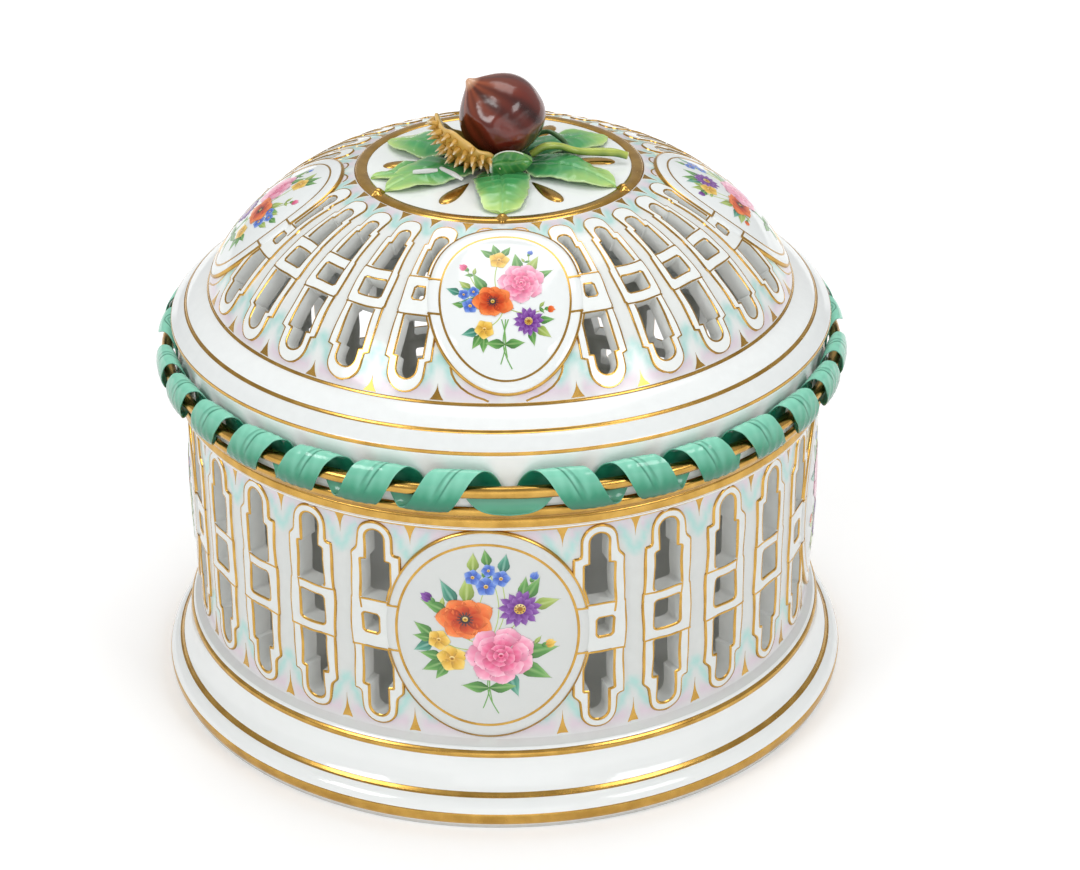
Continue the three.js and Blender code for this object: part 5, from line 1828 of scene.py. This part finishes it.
def stemPiece(name, s, slot, node):
    def swell(t):
        return s["from"] + (s["to"] - s["from"]) * t + 0.12 * sin(11 * t)

    points, faces, run = tube(overPlate(s["knots"]), swell)
    sides = len(points) // len(run)
    light, dark, cut = tonesOf(s, "light", "dark", "cut")
    colours = []
    for i, spot in enumerate(run):
        for j in range(sides):
            # Painted light and shade: each tube is painted lighter on its top and darker beneath
            height = (points[i * sides + j][2] - spot.z) / s["from"]
            shade = clamped(0.5 + 0.55 * height + 0.15 * sin(i * 0.7))
            colour = toward(dark, light, shade)
            colours.append(cut if i == len(run) - 1 else colour)
    addPiece(name, (points, faces, colours), leafColour, "lid", slot, node, sharpAngle=50)


stemPiece("twig_stem", twig, "twig", "twig")
stemPiece("tendril_loop", tendril, "tendril", "tendril")

# Two white cut edges, where the front left leaf was trimmed, in the plaques' darker porcelain, which is
# painted shade
cutEdges = {
    "knots": (((-28.4, -15.4, 4.3), (-24.4, -15.6, 4.6), (-20.3, -14.6, 4.5)),
              ((-19.6, -13.0, 4.6), (-16.0, -16.2, 4.1), (-12.2, -19.2, 2.9))),
    "radius": 0.85, "flat": 0.5,
}


def edgeRadius(t):
    return cutEdges["radius"] * (0.55 + 0.45 * sin(pi * t) ** 0.5 + 0.07 * sin(13 * t))


edgeParts = [tube(overPlate(knots), edgeRadius, 12, cutEdges["flat"])[:2] for knots in cutEdges["knots"]]
addPiece("leaf_cut_edges", joinParts(edgeParts), shadedPorcelain, "lid", "glaze", sharpAngle=50)

# A dark knob between the crown plate and the nut
boss = {"place": (6, 2.6), "radius": 4, "foot": 184.6, "top": 190.6, "colour": (0.05, 0.10, 0.04)}
bossProfile = [(0, boss["top"]), (2.6, boss["top"] - 0.1), (3.6, boss["top"] - 0.7), (4, boss["top"] - 2),
               (3.7, boss["foot"] + 2.4), (4, boss["foot"] + 0.6), (3.6, boss["foot"]), (0, boss["foot"])]
bossPoints, bossFaces = turned(bossProfile, 48)
bossPoints = [lidPoint((x + boss["place"][0], y + boss["place"][1], z)) for x, y, z in bossPoints]
addPiece("boss_knob", (bossPoints, bossFaces, [boss["colour"]] * len(bossPoints)), leafColour, "lid",
         "tendril", "stem_boss")

# The bud leaf in front of the nut: a small cupped leaf, its left edge rolled and its top folded forward
bud = {
    "centre": (3.6, -15.2, 190.1), "length": 14.0, "half": 5.4, "thickness": 0.9, "rows": 40, "columns": 30,
    "deep": (0.02, 0.15, 0.035), "green": (0.085, 0.33, 0.075), "light": (0.30, 0.52, 0.14),
    "edge": (0.80, 0.82, 0.74),
}


def budBody(s):
    rows, columns = s["rows"], s["columns"]
    points, colours = [], []
    deep, green, light, edge = tonesOf(s, "deep", "green", "light", "edge")
    for layer in (0, 1):
        for i in range(rows + 1):
            t = i / rows
            across = (t - 0.5) * s["length"]
            belly = max(0.12, sin(pi * (0.08 + 0.9 * t ** 0.85)) ** 0.62)
            for j in range(columns + 1):
                u = 2 * j / columns - 1
                up = s["half"] * belly * u + 0.9 * sin(2.4 * t) - 0.4
                fold = max(0, u - 0.55) / 0.45
                roll = max(0, 0.16 - t) / 0.16
                before = 2.0 * cos(1.25 * u) * sin(pi * t) ** 0.6
                before += 1.1 * fold ** 1.5 + 0.9 * roll
                before += 0.22 * sin(14 * t + 3 * abs(u)) * (1 - fold)
                before -= 0.28 * exp(-((u - 0.05) / 0.09) ** 2)
                up -= 1.4 * fold ** 2
                before -= layer * s["thickness"]
                x, y, z = s["centre"]
                points.append(lidPoint((x + across, y - before + 0.13 * max(0, across) ** 1.2, z + up)))
                vein = exp(-(((t * 6 - abs(u - 0.05) * 1.2) % 1 - 0.5) / 0.12) ** 2)
                vein *= abs(u - 0.05) > 0.08
                spine = exp(-((u - 0.05) / 0.06) ** 2)
                colour = toward(deep, green, (0.35 + 0.65 * t) * (0.7 + 0.3 * sin(9 * t + 2 * u)))
                colour = toward(colour, light, min(1, 0.22 * vein + 0.3 * spine + 0.55 * fold))
                mark = max(exp(-((t - 0.02) / 0.035) ** 2),
                           exp(-((u - 1) / 0.07) ** 2) * (t > 0.12) * (t < 0.8))
                colours.append(toward(colour, edge, mark))
    return points, sheetFaces(rows, columns), colours


addPiece("bud_blade", budBody(bud), leafColour, "lid", "leaf", "bud_leaf", sharpAngle=60)
print("stage: twig, tendril and bud leaf made")


# Stage and light: large soft boxes at both sides of the pot, over it and in front
stageSettings = {
    "floorRadius": 40.0, "floorColour": 0.97, "floorGlow": ((0.1, 0.10), (4.1, 0.9)), "world": 0.50,
    "lamps": {
        "left_box": {"place": (-1.5, -1.3, 1.5), "size": 0.85, "power": 16.5},
        "right_box": {"place": (1.5, -1.2, 1.3), "size": 0.85, "power": 12},
        "top_box": {"place": (0.1, 0.5, 2.0), "size": 1.3, "power": 14},
        "front_box": {"place": (0.2, -2.4, 0.5), "size": 1.6, "power": 8},
    },
}


def makeStage(settings):
    material, tree, shader = newMaterial("floor")
    # The floor is paper white to the eye, and its shadows stay, because the glow lights nothing
    path = addNode(tree, "ShaderNodeLightPath", {}).outputs
    seen = path["Is Camera Ray"]
    for kind in ("Is Glossy Ray", "Is Transmission Ray"):
        seen = addNode(tree, "ShaderNodeMath", {0: seen, 1: path[kind]}, operation="ADD")
    place = addNode(tree, "ShaderNodeTexCoord", {}).outputs["Object"]
    away = addNode(tree, "ShaderNodeVectorMath", {0: place}, operation="LENGTH").outputs["Value"]
    (near, low), (far, high) = settings["floorGlow"]
    glow = rangeOf(tree, away, low, high, near, far)
    feed(tree, shader, {
        "Base Color": (*[settings["floorColour"]] * 3, 1), "Roughness": 0.9, "Specular IOR Level": 0.1,
        "Emission Color": (1, 1, 1, 1),
        "Emission Strength": addNode(tree, "ShaderNodeMath", {0: seen, 1: glow}, operation="MULTIPLY"),
    })
    points = [around(2 * pi * i / 96, settings["floorRadius"] / mm, -0.02) for i in range(96)]
    floor = makeObject("floor", points, [range(96)], material)
    world = bpy.context.scene.world or bpy.data.worlds.new("world")
    bpy.context.scene.world = world
    world.use_nodes = True
    world.node_tree.nodes["Background"].inputs["Color"].default_value = (1, 1, 1, 1)
    world.node_tree.nodes["Background"].inputs["Strength"].default_value = settings["world"]


def softBox(name, place, size, power):
    lamp = bpy.data.lights.new(name, "AREA")
    lamp.energy = power
    lamp.size = size
    obj = bpy.data.objects.new(name, lamp)
    bpy.context.scene.collection.objects.link(obj)
    obj.location = place
    obj.rotation_euler = (Vector((0, 0, 0.1)) - Vector(place)).to_track_quat("-Z", "Y").to_euler()


makeStage(stageSettings)
for name, lamp in stageSettings["lamps"].items():
    softBox(name, lamp["place"], lamp["size"], lamp["power"])
bpy.context.scene.view_settings.view_transform = "Standard"
print("stage: floor and lights made")
